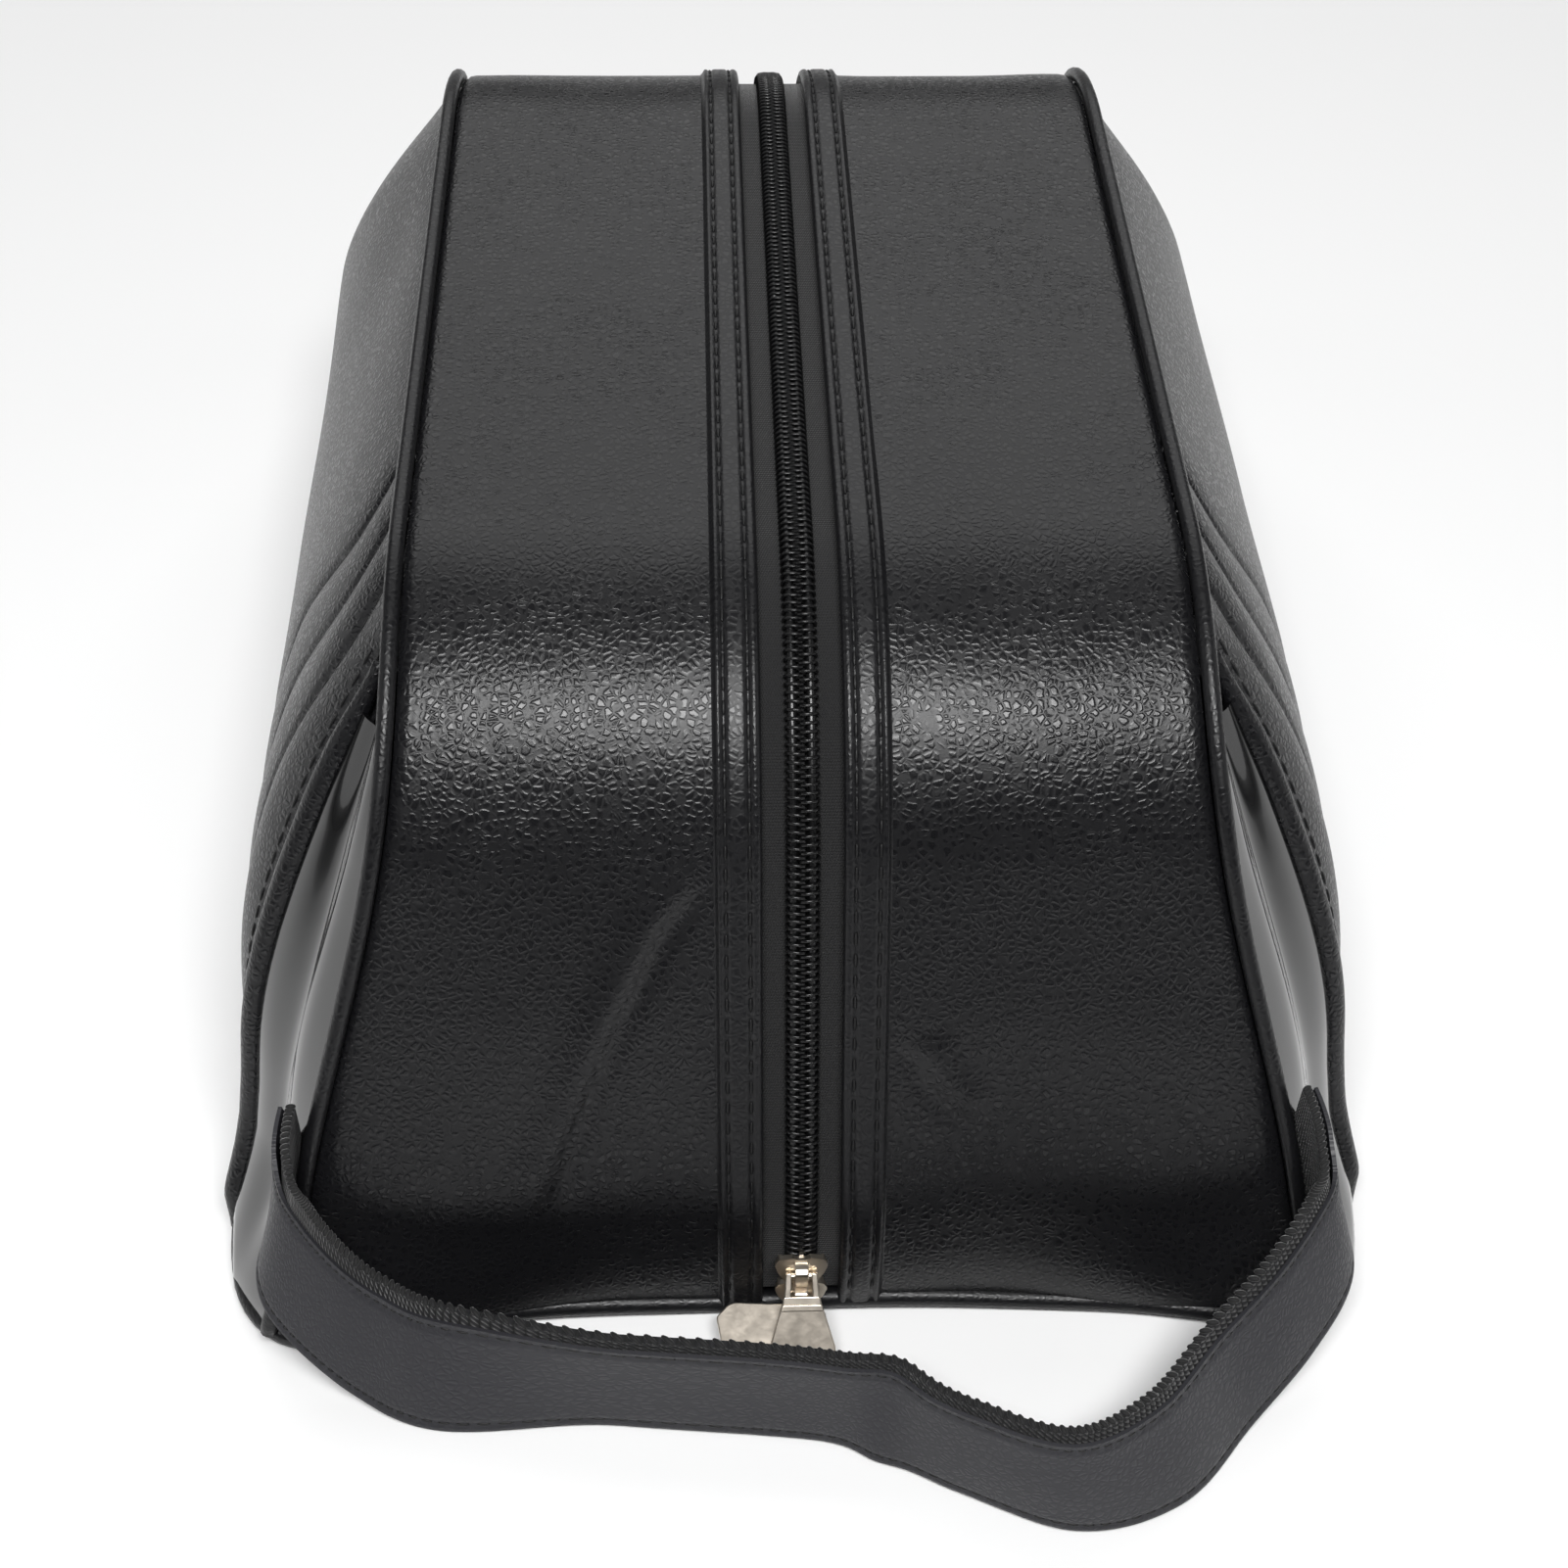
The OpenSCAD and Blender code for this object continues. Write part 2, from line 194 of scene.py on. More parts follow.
    def side_x(self, y: float, z: float) -> float:
        """Half width of the side at a place on it."""
        gusset = self.gusset_x(z)
        depth = self.corner_depth * (1 - 0.4 * smooth_step((40 * MM - z) / (40 * MM)))
        t = min(1.0, max(0.0, (self.half_len(z) - abs(y)) / depth))
        return gusset + max(0.0, self.bulge_x(z) - gusset) * math.sin(math.pi / 2 * t)

    def wedge_y(self, z: float) -> float:
        """Where the quilted panel's padded edge runs at height z."""
        return (-94 - 47 * max(0.0, (0.124 - z) / 0.118) ** 0.8) * MM

    def flared(self, p: Vector) -> Vector:
        """Moves a point outwards where the foot of the bag spreads towards the base's corners."""
        low = smooth_step((30 * MM - p.z) / (30 * MM))
        end = smooth_step((abs(p.y) - 110 * MM) / (50 * MM))
        out_y = 6.0 * MM * low * end * smooth_step((abs(p.x) - 30 * MM) / (65 * MM))
        out_x = 5.5 * MM * low * end * smooth_step((abs(p.x) - 60 * MM) / (35 * MM))
        out_x = min(out_x, max(0.0, self.base_half_w - abs(p.x)))
        return Vector((p.x + math.copysign(out_x, p.x), p.y + math.copysign(out_y, p.y), p.z))


FORM = BagForm()


# ---- mesh helpers

def mapped_grid(cells: tuple[int, int], place: Surface,
                measure: Chart) -> Mesh:
    """Lays a grid on a surface.

    Args:
        cells: Number of cells along u and along v.
        place: Gives the grid's points.
        measure: Gives their pattern coordinates.

    Returns:
        The mesh, with its pattern coordinates in UVMap.
    """
    bm = bmesh.new()
    bmesh.ops.create_grid(bm, x_segments=cells[0], y_segments=cells[1], size=0.5)
    uv = bm.loops.layers.uv.new("UVMap")
    spots = {v: (v.co.x + 0.5, v.co.y + 0.5) for v in bm.verts}
    for face in bm.faces:
        face.smooth = True
        for loop in face.loops:
            u, v = spots[loop.vert]
            loop[uv].uv = measure(u, v)
    for vert, (u, v) in spots.items():
        vert.co = place(u, v)
    # The sheet's rim stays crisp once it has its thickness
    for edge in bm.edges:
        edge.smooth = not edge.is_boundary
    return bm


def face_outwards(bm: Mesh, outward: Callable[[Vector], Vector]) -> None:
    """Turns an open sheet so that its faces point the given way."""
    bm.normal_update()
    votes = sum(1 if f.normal.dot(outward(f.calc_center_median())) > 0 else -1 for f in bm.faces)
    if votes < 0:
        bmesh.ops.reverse_faces(bm, faces=bm.faces)


def tube(path: Sequence[Vector], radius: Callable[[float], float] | float, sides: int = 10,
         closed: bool = False, up: Vector = Vector((0.31, 0.17, 0.93))) -> Mesh:
    """Sweeps a round section along a path.

    Args:
        path: Points along the middle of the tube.
        radius: The radius, or a function of the share of the way along.
        sides: Sides of the section.
        closed: Whether the last point meets the first.
        up: A direction that the path never takes.

    Returns:
        The closed tube, with its length and girth in metres as UVMap.
    """
    count = len(path)
    run = [0.0]
    for a, b in zip(path, path[1:]):
        run.append(run[-1] + (b - a).length)
    width = radius if callable(radius) else (lambda t: radius)

    def place(u: float, v: float) -> Vector:
        i = round(u * (count - 1))
        before = path[(i - 1) % (count - 1)] if closed else path[max(0, i - 1)]
        after = path[(i + 1) % (count - 1)] if closed else path[min(count - 1, i + 1)]
        along = (after - before).normalized()
        a = along.cross(up).normalized()
        b = along.cross(a)
        turn = 2 * math.pi * v
        return path[i] + width(u) * (a * math.cos(turn) + b * math.sin(turn))

    girth = 2 * math.pi * width(0.5)
    bm = mapped_grid((count - 1, sides), place, lambda u, v: (run[round(u * (count - 1))], v * girth))
    bmesh.ops.remove_doubles(bm, verts=bm.verts, dist=1e-7)
    for edge in bm.edges:
        edge.smooth = True
    if not closed:
        bmesh.ops.holes_fill(bm, edges=bm.edges, sides=sides + 1)
    bmesh.ops.recalc_face_normals(bm, faces=bm.faces)
    return bm


def to_object(name: str, bm: Mesh, finish: Material) -> Piece:
    """Makes an object of a mesh and dresses it."""
    mesh = bpy.data.meshes.new(name)
    bm.to_mesh(mesh)
    bm.free()
    mesh.materials.append(finish)
    obj = bpy.data.objects.new(name, mesh)
    bpy.context.scene.collection.objects.link(obj)
    return obj


def thicken(obj: Piece, thickness: float) -> None:
    """Gives a sheet its thickness inwards, applied to its mesh."""
    wall = obj.modifiers.new("wall", "SOLIDIFY")
    wall.thickness = thickness
    wall.offset = -1
    bpy.context.view_layer.update()
    graph = bpy.context.evaluated_depsgraph_get()
    mesh = bpy.data.meshes.new_from_object(obj.evaluated_get(graph), preserve_all_data_layers=True,
                                           depsgraph=graph)
    obj.modifiers.clear()
    old = obj.data
    obj.data = mesh
    bpy.data.meshes.remove(old)


def enter(obj: Piece, slot: str, body: str, *nodes: str) -> Piece:
    """Hangs a piece on the body that it rides on, and hides the frame's nodes that it stands for.

    Args:
        obj: The piece.
        slot: Not used.
        body: The body that it rides on.
        nodes: The nodes that it stands for.

    Returns:
        The piece.
    """
    if nodes:
        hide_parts(*nodes)
    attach(obj, body)
    return obj


def smooth_step(t: float) -> float:
    """Eases from 0 to 1."""
    t = min(1.0, max(0.0, t))
    return t * t * (3 - 2 * t)


def line_distance(p: Pair, points: Sequence[Pair]) -> Pair:
    """How far a point lies from a bent line.

    Args:
        p: The point.
        points: The line's corners.

    Returns:
        The signed distance, and the share of the way along at the nearest place.
    """
    best, share = 1e9, 0.0
    for i, (a, b) in enumerate(zip(points, points[1:])):
        dx, dy = b[0] - a[0], b[1] - a[1]
        t = min(1.0, max(0.0, ((p[0] - a[0]) * dx + (p[1] - a[1]) * dy) / (dx * dx + dy * dy)))
        off = Vector((p[0] - a[0] - t * dx, p[1] - a[1] - t * dy))
        d = off.length
        if d < abs(best):
            best = math.copysign(d, dx * off.y - dy * off.x)
            share = (i + t) / (len(points) - 1)
    return best, share


def spline(points: Sequence[Sequence[float]], at: float) -> Vector:
    """A smooth curve through points.

    Args:
        points: The points.
        at: How far along, counted in points.

    Returns:
        The curve's point.
    """
    last = len(points) - 1
    i = min(last - 1, int(at))
    f = at - i
    a, b, c, d = (Vector(points[min(last, max(0, k))]) for k in (i - 1, i, i + 1, i + 2))
    return 0.5 * (2 * b + (c - a) * f + (2 * a - 5 * b + 4 * c - d) * f * f
                  + (3 * b - a - 3 * c + d) * f ** 3)


# ---- finishes

def linear(colour: str) -> tuple[float, float, float, float]:
    """Turns an sRGB hex colour into linear light."""
    parts = [int(colour[i:i + 2], 16) / 255 for i in (1, 3, 5)]
    r, g, b = (c / 12.92 if c <= 0.04045 else ((c + 0.055) / 1.055) ** 2.4 for c in parts)
    return r, g, b, 1.0


def add(tree: Tree, kind: str, values: dict | None = None, links: dict | None = None,
        **settings: object) -> Node:
    """Adds a shader node.

    Args:
        tree: The material's node tree.
        kind: The node's type.
        values: Socket values by socket name or number.
        links: Output sockets to join, by input name or number.
        settings: The node's own settings.

    Returns:
        The new node.
    """
    made = tree.nodes.new(kind)
    for key, value in settings.items():
        setattr(made, key, value)
    for key, value in (values or {}).items():
        made.inputs[key].default_value = value
    for key, source in (links or {}).items():
        tree.links.new(source, made.inputs[key])
    return made


def noise_of(tree: Tree, where: Socket, scale: float, detail: float) -> Node:
    """Adds a noise texture with so many cells a metre."""
    return add(tree, "ShaderNodeTexNoise", {"Scale": scale, "Detail": detail}, {"Vector": where})


def sums(tree: Tree, operation: str, *terms: Socket | float) -> Socket:
    """Works out one sum in the shader.

    Args:
        tree: The material's node tree.
        operation: What to do with the terms.
        terms: Sockets or numbers.

    Returns:
        The result's socket.
    """
    numbers = {i: term for i, term in enumerate(terms) if isinstance(term, (int, float))}
    sockets = {i: term for i, term in enumerate(terms) if i not in numbers}
    return add(tree, "ShaderNodeMath", numbers, sockets, operation=operation).outputs[0]


def set_range(tree: Tree, shader: Node, source: Socket,
              low: float, high: float) -> None:
    """Spreads a shader's roughness from low to high by a pattern."""
    rough = add(tree, "ShaderNodeMapRange", {"To Min": low, "To Max": high}, {"Value": source})
    tree.links.new(rough.outputs[0], shader.inputs["Roughness"])


def set_colours(tree: Tree, shader: Node, share: Socket,
                colour: str, other: str) -> None:
    """Mixes a shader's two colours by a pattern."""
    mix = add(tree, "ShaderNodeMix", {6: linear(colour), 7: linear(other)}, {0: share}, data_type="RGBA")
    tree.links.new(mix.outputs[2], shader.inputs["Base Color"])


def set_inputs(shader: Node, values: dict[str, object]) -> None:
    """Sets a shader's own sockets."""
    for name, value in values.items():
        shader.inputs[name].default_value = value


def fresh_material(name: str) -> tuple[Material, Tree, Node]:
    """Starts a material.

    Args:
        name: The material's name.

    Returns:
        The material, its node tree and its shader.
    """
    material = bpy.data.materials.new(name)
    material.use_nodes = True
    tree = material.node_tree
    tree.nodes.clear()
    shader = add(tree, "ShaderNodeBsdfPrincipled")
    add(tree, "ShaderNodeOutputMaterial", links={"Surface": shader.outputs["BSDF"]})
    return material, tree, shader


def height_bump(tree: Tree, shader: Node, height: Socket,
                depth: float) -> None:
    """Sets a height as relief on a shader."""
    bump = add(tree, "ShaderNodeBump", {"Strength": 1.0, "Distance": depth}, {"Height": height})
    tree.links.new(bump.outputs["Normal"], shader.inputs["Normal"])


@dataclass(frozen=True)
class PebbledLeather:
    """Coated leather pressed with a pebble grain: soft sheen on top of small domed cells."""

    name: str
    colour: str = "#0e0e10"
    tint: str = "#151517"
    cell: float = 1.5 * MM      # grain cell, as on lychee-grained bag leather
    depth: float = 0.075 * MM
    roughness: float = 0.29

    def build(self) -> Material:
        """Builds the material."""
        material, tree, shader = fresh_material(self.name)
        where = add(tree, "ShaderNodeTexCoord").outputs["UV"]
        warp = noise_of(tree, where, 0.45 / self.cell, 2.0)
        shift = add(tree, "ShaderNodeVectorMath", {1: (0.5, 0.5, 0.5)},
                    {0: warp.outputs["Color"]}, operation="SUBTRACT")
        scaled = add(tree, "ShaderNodeVectorMath", {"Scale": 1.1 * self.cell},
                     {0: shift.outputs[0]}, operation="SCALE")
        bent = add(tree, "ShaderNodeVectorMath", links={0: where, 1: scaled.outputs[0]}, operation="ADD")
        cells = add(tree, "ShaderNodeTexVoronoi", {"Scale": 1 / self.cell, "Randomness": 0.95},
                    {"Vector": bent.outputs[0]}, feature="DISTANCE_TO_EDGE")
        dome = add(tree, "ShaderNodeMapRange", {"From Max": 0.3, "To Max": 1.0},
                   {"Value": cells.outputs["Distance"]}, interpolation_type="SMOOTHERSTEP").outputs[0]
        fine = noise_of(tree, where, 3.2 / self.cell, 3.0).outputs["Fac"]
        broad = noise_of(tree, where, 28.0, 2.0).outputs["Fac"]
        grain = sums(tree, "MULTIPLY_ADD", fine, 0.22, dome)
        # The grain is pressed less deeply in some places than in others
        span = {"From Min": 0.3, "From Max": 0.7, "To Min": 0.55, "To Max": 1.15}
        deep = add(tree, "ShaderNodeMapRange", span, {"Value": broad}).outputs[0]
        height_bump(tree, shader, sums(tree, "MULTIPLY", grain, deep), self.depth)
        set_colours(tree, shader, broad, self.colour, self.tint)
        set_range(tree, shader, dome, self.roughness + 0.1, self.roughness - 0.03)
        set_inputs(shader, {"IOR": 1.42})
        return material


@dataclass(frozen=True)
class PatentLeather:
    """Leather under a clear polyurethane film: near-mirror gloss with slow ripples."""

    name: str
    colour: str = "#0a0a0b"

    def build(self) -> Material:
        """Builds the material."""
        material, tree, shader = fresh_material(self.name)
        where = add(tree, "ShaderNodeTexCoord").outputs["UV"]
        # Ripples some 20 mm apart, as a film over soft backing shows
        height_bump(tree, shader, noise_of(tree, where, 50.0, 1.0).outputs["Fac"], 0.35 * MM)
        set_inputs(shader, {"Base Color": linear(self.colour), "Roughness": 0.14, "IOR": 1.55,
                            "Coat Weight": 1.0, "Coat Roughness": 0.03})
        return material


@dataclass(frozen=True)
class NickelPlate:
    """Polished nickel plate on a zinc casting: warm white metal with faint handling haze."""

    name: str
    colour: str = "#ddd3c5"
    roughness: float = 0.30

    def build(self) -> Material:
        """Builds the material."""
        material, tree, shader = fresh_material(self.name)
        where = add(tree, "ShaderNodeTexCoord").outputs["Object"]
        haze = noise_of(tree, where, 400.0, 4.0).outputs["Fac"]
        set_range(tree, shader, haze, self.roughness - 0.06, self.roughness + 0.1)
        # Plating over a cast face keeps a slight orange peel about 1 mm across
        height_bump(tree, shader, noise_of(tree, where, 1000.0, 1.0).outputs["Fac"], 0.01 * MM)
        set_inputs(shader, {"Base Color": linear(self.colour), "Metallic": 1.0})
        return material


@dataclass(frozen=True)
class Woven:
    """Woven yarn: over-and-under bumps along and across the strip, on the piece's own UVs, coloured with
    painted shade between the knots and a painted highlight on them.
    """

    name: str
    colour: str = "#0d0d0e"
    # colour shows in the hollows between the knots as painted shade, light on their crowns as a painted
    # highlight
    light: str = "#1d1d20"
    warp: float = 0.5 * MM      # spacing of the yarns that run along the strip
    weft: float = 0.6 * MM      # spacing of the yarns that cross it
    depth: float = 0.12 * MM
    roughness: float = 0.75
    lean: float = 0.0           # how far the bumps step sideways from row to row, in yarns

    def build(self) -> Material:
        """Builds the material."""
        material, tree, shader = fresh_material(self.name)
        where = add(tree, "ShaderNodeTexCoord").outputs["UV"]
        parts = add(tree, "ShaderNodeSeparateXYZ", links={0: where})
        along = sums(tree, "MULTIPLY", parts.outputs["Y"], math.pi / self.weft)
        skew = sums(tree, "MULTIPLY", along, self.lean)
        across = sums(tree, "MULTIPLY_ADD", parts.outputs["X"], math.pi / self.warp, skew)
        knots = sums(tree, "MULTIPLY", sums(tree, "SINE", across), sums(tree, "SINE", along))
        round_knots = sums(tree, "ABSOLUTE", knots)
        fuzz = noise_of(tree, where, 1.5 / self.warp, 3.0).outputs["Fac"]
        height_bump(tree, shader, sums(tree, "MULTIPLY_ADD", fuzz, 0.5, round_knots), self.depth)
        # Painted shade and highlight: the colour follows the knots' height, darker in the hollows between
        # them and lighter on their crowns
        set_colours(tree, shader, round_knots, self.colour, self.light)
        set_inputs(shader, {"Roughness": self.roughness, "Sheen Weight": 0.25, "Sheen Roughness": 0.4})
        return material


@dataclass(frozen=True)
class Plain:
    """A moulded, spun or cut material with one colour and a fine grain of its own."""

    name: str
    colour: str
    roughness: float
    grain: float                # spacing of the grain
    depth: float = 0.02 * MM

    def build(self) -> Material:
        """Builds the material."""
        material, tree, shader = fresh_material(self.name)
        where = add(tree, "ShaderNodeTexCoord").outputs["Object"]
        speck = noise_of(tree, where, 1 / self.grain, 4.0).outputs["Fac"]
        height_bump(tree, shader, speck, self.depth)
        set_range(tree, shader, speck, self.roughness - 0.08, self.roughness + 0.08)
        set_inputs(shader, {"Base Color": linear(self.colour)})
        return material


class Finishes:
    """Every finish on the bag, built once."""

    def __init__(self) -> None:
        """Builds the materials."""
        self.leather = PebbledLeather("pebbled_pu_leather").build()
        self.binding = PebbledLeather("skived_binding_leather", depth=0.045 * MM, roughness=0.33).build()
        self.strap_leather = PebbledLeather(
            "strap_facing_leather", colour="#26262a", tint="#303034", cell=1.3 * MM, roughness=0.42).build()
        self.patent = PatentLeather("patent_leather").build()
        self.nickel = NickelPlate("nickel_plated_zinc").build()
        # The tape, the webbing and the lining carry painted shade between the knots of their weave and a
        # painted highlight on the knots
        self.tape = Woven("polyester_zip_tape", colour="#070708", light="#131315", lean=0.5).build()
        self.webbing = Woven("nylon_webbing", warp=1.1 * MM, weft=1.3 * MM, depth=0.4 * MM, lean=1.0).build()
        self.lining = Woven("polyester_lining", colour="#17171a", light="#26262b", warp=0.7 * MM,
                            weft=0.7 * MM, depth=0.05 * MM).build()
        self.coil = Plain("nylon_coil", "#0c0c0d", 0.3, 0.4 * MM).build()
        self.thread = Plain("polyester_thread", "#060607", 0.55, 0.2 * MM, 0.03 * MM).build()
        self.foam = Plain("polyether_foam", "#3c3c3e", 0.95, 0.8 * MM, 0.3 * MM).build()
        self.board = Plain("fibre_board", "#5a5148", 0.8, 1.0 * MM, 0.05 * MM).build()


# ---- the gusset band and its zip

@dataclass
class GussetHalf:
    """One side of the gusset band from one end's foot to the middle of the flat top."""

    side: Side
    end: End
    finishes: Finishes
    leather: float = 1.6 * MM
    zip_gap: float = 15 * MM
    seam_gap: float = 1.7 * MM
    welt_w: float = 9 * MM
    tape_w: float = 14 * MM
    tape_depth: float = 2.1 * MM
    stitch_rows: Pair = (2.3 * MM, 6.8 * MM)
    stitch_pitch: float = 4.4 * MM
    stitch_half: float = 1.45 * MM
    tooth_pitch: float = 1.6 * MM
    tooth_r: float = 0.36 * MM
    core_r: float = 0.9 * MM
    foot: float = -3.0 * MM
    slack: float = 0.9 * MM         # how far the leather waves
    drawn_in: float = 1.6 * MM      # how far the end face is pulled in beside the zip
    fold_r: float = 1.3 * MM        # of the welt's folded edge
    valley_w: float = 0.55 * MM     # of the valley under each stitch row

    def spot(self, x: float, s: float, out: float) -> Vector:
        """A point on this half, at x from the middle, s from the foot and out from the surface."""
        y, z = FORM.face(s, out)
        return FORM.flared(Vector((x * self.side.value, -y * self.end.value, z)))

    def softness(self, x: float, s: float) -> float:
        """How far the leather stands off the plain form: slack, creases and the pull of the seams."""
        edge = min(x - self.zip_gap / 2, FORM.gusset_x(FORM.face(s)[1]) - x)
        slack = smooth_step(edge / (18 * MM))
        where = Vector((x * self.side.value * 22, -self.end.value * (FORM.half_arc - s) * 22, 3.7))
        out = slack * self.slack * noise.noise(where)
        if self.end is End.NEAR:
            for crease in FRONT_CREASES:
                if crease.side is self.side:
                    out += crease.relief(x, s)
            # The end face is drawn in a little above its foot, beside the zip
            out -= self.drawn_in * slack * smooth_step((70 * MM - s) / (50 * MM)) * smooth_step(s / (20 * MM))
        return out

    def outward(self, point: Vector) -> Vector:
        """The way out of the bag near a point of the band."""
        return Vector((0, point.y * 0.8, 0.06 + point.z * 0.4))

    def strip(self, name: str, x0: Callable[[float], float], x1: Callable[[float], float],
              cells: int, out: Callable[[float, float, float], float], finish: Material,
              thickness: float, s0: float | None = None) -> Piece:
        """Makes one lengthwise strip of the band.

        Args:
            name: The piece's name.
            x0: Inner edge at arc length s.
            x1: Outer edge at arc length s.
            cells: Cells across the strip.
            out: Height over the form at (share across, x, s).
            finish: The material.
            thickness: Thickness, inwards.
            s0: Where the strip starts, from the foot.

        Returns:
            The piece.
        """
        start = self.foot if s0 is None else s0
        span = FORM.half_arc - start

        def place(u: float, v: float) -> Vector:
            s = start + span * v
            x = x0(s) + (x1(s) - x0(s)) * u
            return self.spot(x, s, out(u, x, s))

        def measure(u: float, v: float) -> Pair:
            s = start + span * v
            return ((x0(s) + (x1(s) - x0(s)) * u) * self.side.value, -self.end.value * (FORM.half_arc - s))

        bm = mapped_grid((cells, 190), place, measure)
        face_outwards(bm, self.outward)
        obj = to_object(f"{name}_{self.side.word}_{self.end.name.lower()}", bm, finish)
        thicken(obj, thickness)
        return obj

    def cross_opening(self, obj: Piece) -> None:
        """Bakes a piece's placement into its mesh."""
        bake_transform(obj)

    def welt_relief(self, u: float, x: float, s: float) -> float:
        """Section of the folded welt: a round fold, and a valley under each stitch row."""
        fold = x - self.zip_gap / 2
        height = 1.35 * MM * math.sqrt(max(0.0, 1 - (1 - min(1.0, fold / self.fold_r)) ** 2))
        for row in self.stitch_rows:
            height -= self.valley_w * math.exp(-((fold - row) / self.valley_w) ** 2)
        fall = smooth_step((fold - self.welt_w + 1.1 * MM) / (1.1 * MM))
        return height * (1 - fall) + 0.12 * MM * fall

    def build(self) -> list[Piece]:
        """Builds the leather, welt, tape, stitches and coil of this half."""
        inner, outer = self.zip_gap / 2, self.zip_gap / 2 + self.welt_w
        panel = self.strip(
            "gusset_leather", lambda s: outer - 2.5 * MM,
            lambda s: FORM.gusset_x(FORM.face(s)[1]) - self.seam_gap, 44,
            lambda u, x, s: self.softness(x, s) - 1.2 * MM * smooth_step((u - 0.97) / 0.03),
            self.finishes.leather, self.leather)
        welt = self.strip("zip_welt", lambda s: inner, lambda s: outer, 36,
                          self.welt_relief, self.finishes.binding, self.leather)
        tape = self.strip("zip_tape", lambda s: 0.1 * MM, lambda s: self.tape_w, 4,
                          lambda u, x, s: -self.tape_depth, self.finishes.tape, 0.5 * MM, s0=0.0)
        made = {"panel": panel, "welt": welt, "tape": tape, "": self.stitches(), "coil": self.coil()}
        # The near half reaches to the middle of the flat top, and stands for the top's nodes too
        places = [self.end.node_word] + ["top"] * (self.end is End.NEAR)
        for kind, obj in made.items():
            if kind:
                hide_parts(*(f"{place}_{kind}_{self.side.word}" for place in places))
            self.cross_opening(obj)
        return list(made.values())

    def stitches(self) -> Piece:
        """Two rows of thread sunk into the welt."""
        bm = bmesh.new()
        count = int((FORM.half_arc - 2 * MM) / self.stitch_pitch)
        for row in self.stitch_rows:
            for k in range(count):
                s = FORM.half_arc - (k + 0.5) * self.stitch_pitch
                x = self.zip_gap / 2 + row
                out = self.welt_relief(0, x, s) + 0.12 * MM
                a, b = self.spot(x, s - self.stitch_half, out), self.spot(x, s + self.stitch_half, out)
                add_capsule(bm, a, b, THREAD_R)
        return to_object(f"welt_stitches_{self.side.word}_{self.end.name.lower()}", bm, self.finishes.thread)

    def coil(self) -> Piece:
        """Turns of the coil: bars from this side's edge to past the middle, with a round shoulder."""
        bm = bmesh.new()
        # Left and right turns are half a pitch apart, and stay so past the middle of the flat top
        leads = (self.side is Side.LEFT) == (self.end is End.NEAR)
        first = 1.5 * MM
        count = int((FORM.half_arc - first) / self.tooth_pitch)
        route = ((2.95, -1.55), (2.9, -0.6), (2.45, 0.1), (1.2, 0.32), (-0.35, 0.3))
        for k in range(count):
            s = FORM.half_arc - (k + (0.25 if leads else 0.75)) * self.tooth_pitch
            points = [self.spot(x * MM, s + 0.1 * MM * i * self.end.value, out * MM)
                      for i, (x, out) in enumerate(route)]
            append(bm, tube(points, self.tooth_r, sides=6, up=Vector((0.0, 0.9, 0.3))))
        # The core cord that the turns are sewn over
        cord = [self.spot(1.75 * MM, first + (FORM.half_arc - first) * i / 60, -0.75 * MM) for i in range(61)]
        append(bm, tube(cord, self.core_r, sides=8, up=Vector((1, 0, 0))))
        return to_object(f"zip_coil_{self.side.word}_{self.end.name.lower()}", bm, self.finishes.coil)


def append(bm: Mesh, part: Mesh) -> None:
    """Adds one mesh to another."""
    mesh = bpy.data.meshes.new("part")
    part.to_mesh(mesh)
    part.free()
    bm.from_mesh(mesh)
    bpy.data.meshes.remove(mesh)


def add_capsule(bm: Mesh, a: Vector, b: Vector, radius: float) -> None:
    """Adds a short thread from a to b."""
    along = b - a
    turn = along.to_track_quat("Z", "Y").to_matrix().to_4x4()
    fit = Matrix.Diagonal((radius, radius, along.length / 2, 1))
    made = bmesh.ops.create_uvsphere(bm, u_segments=6, v_segments=5, radius=1,
                                     matrix=Matrix.Translation((a + b) / 2) @ turn @ fit)
    for face in {f for v in made["verts"] for f in v.link_faces}:
        face.smooth = True


@dataclass(frozen=True)
class Crease:
    """A fold line pressed into the leather of the near end."""

    side: Side
    points: tuple[Pair, ...]   # x from the middle and s from the foot, in metres
    depth: float
    width: float

    def relief(self, x: float, s: float) -> float:
        """Height of the crease at a place: a sharp valley with a soft ridge beside it."""
        d, t = line_distance((x, s), self.points)
        fade = smooth_step(min(t, 1 - t) * 5)
        valley = -math.exp(-(d / self.width) ** 2)
        ridge = 0.9 * math.exp(-((d - 2.2 * self.width) / (2.2 * self.width)) ** 2)
        return self.depth * fade * (valley + ridge)


FRONT_CREASES = (
    Crease(Side.LEFT, ((0.017, 0.098), (0.026, 0.084), (0.036, 0.062), (0.045, 0.038), (0.052, 0.016)),
           1.2 * MM, 1.7 * MM),
    Crease(Side.RIGHT, ((0.019, 0.062), (0.024, 0.052), (0.032, 0.042)), 0.9 * MM, 1.6 * MM),
)


# ---- the sides

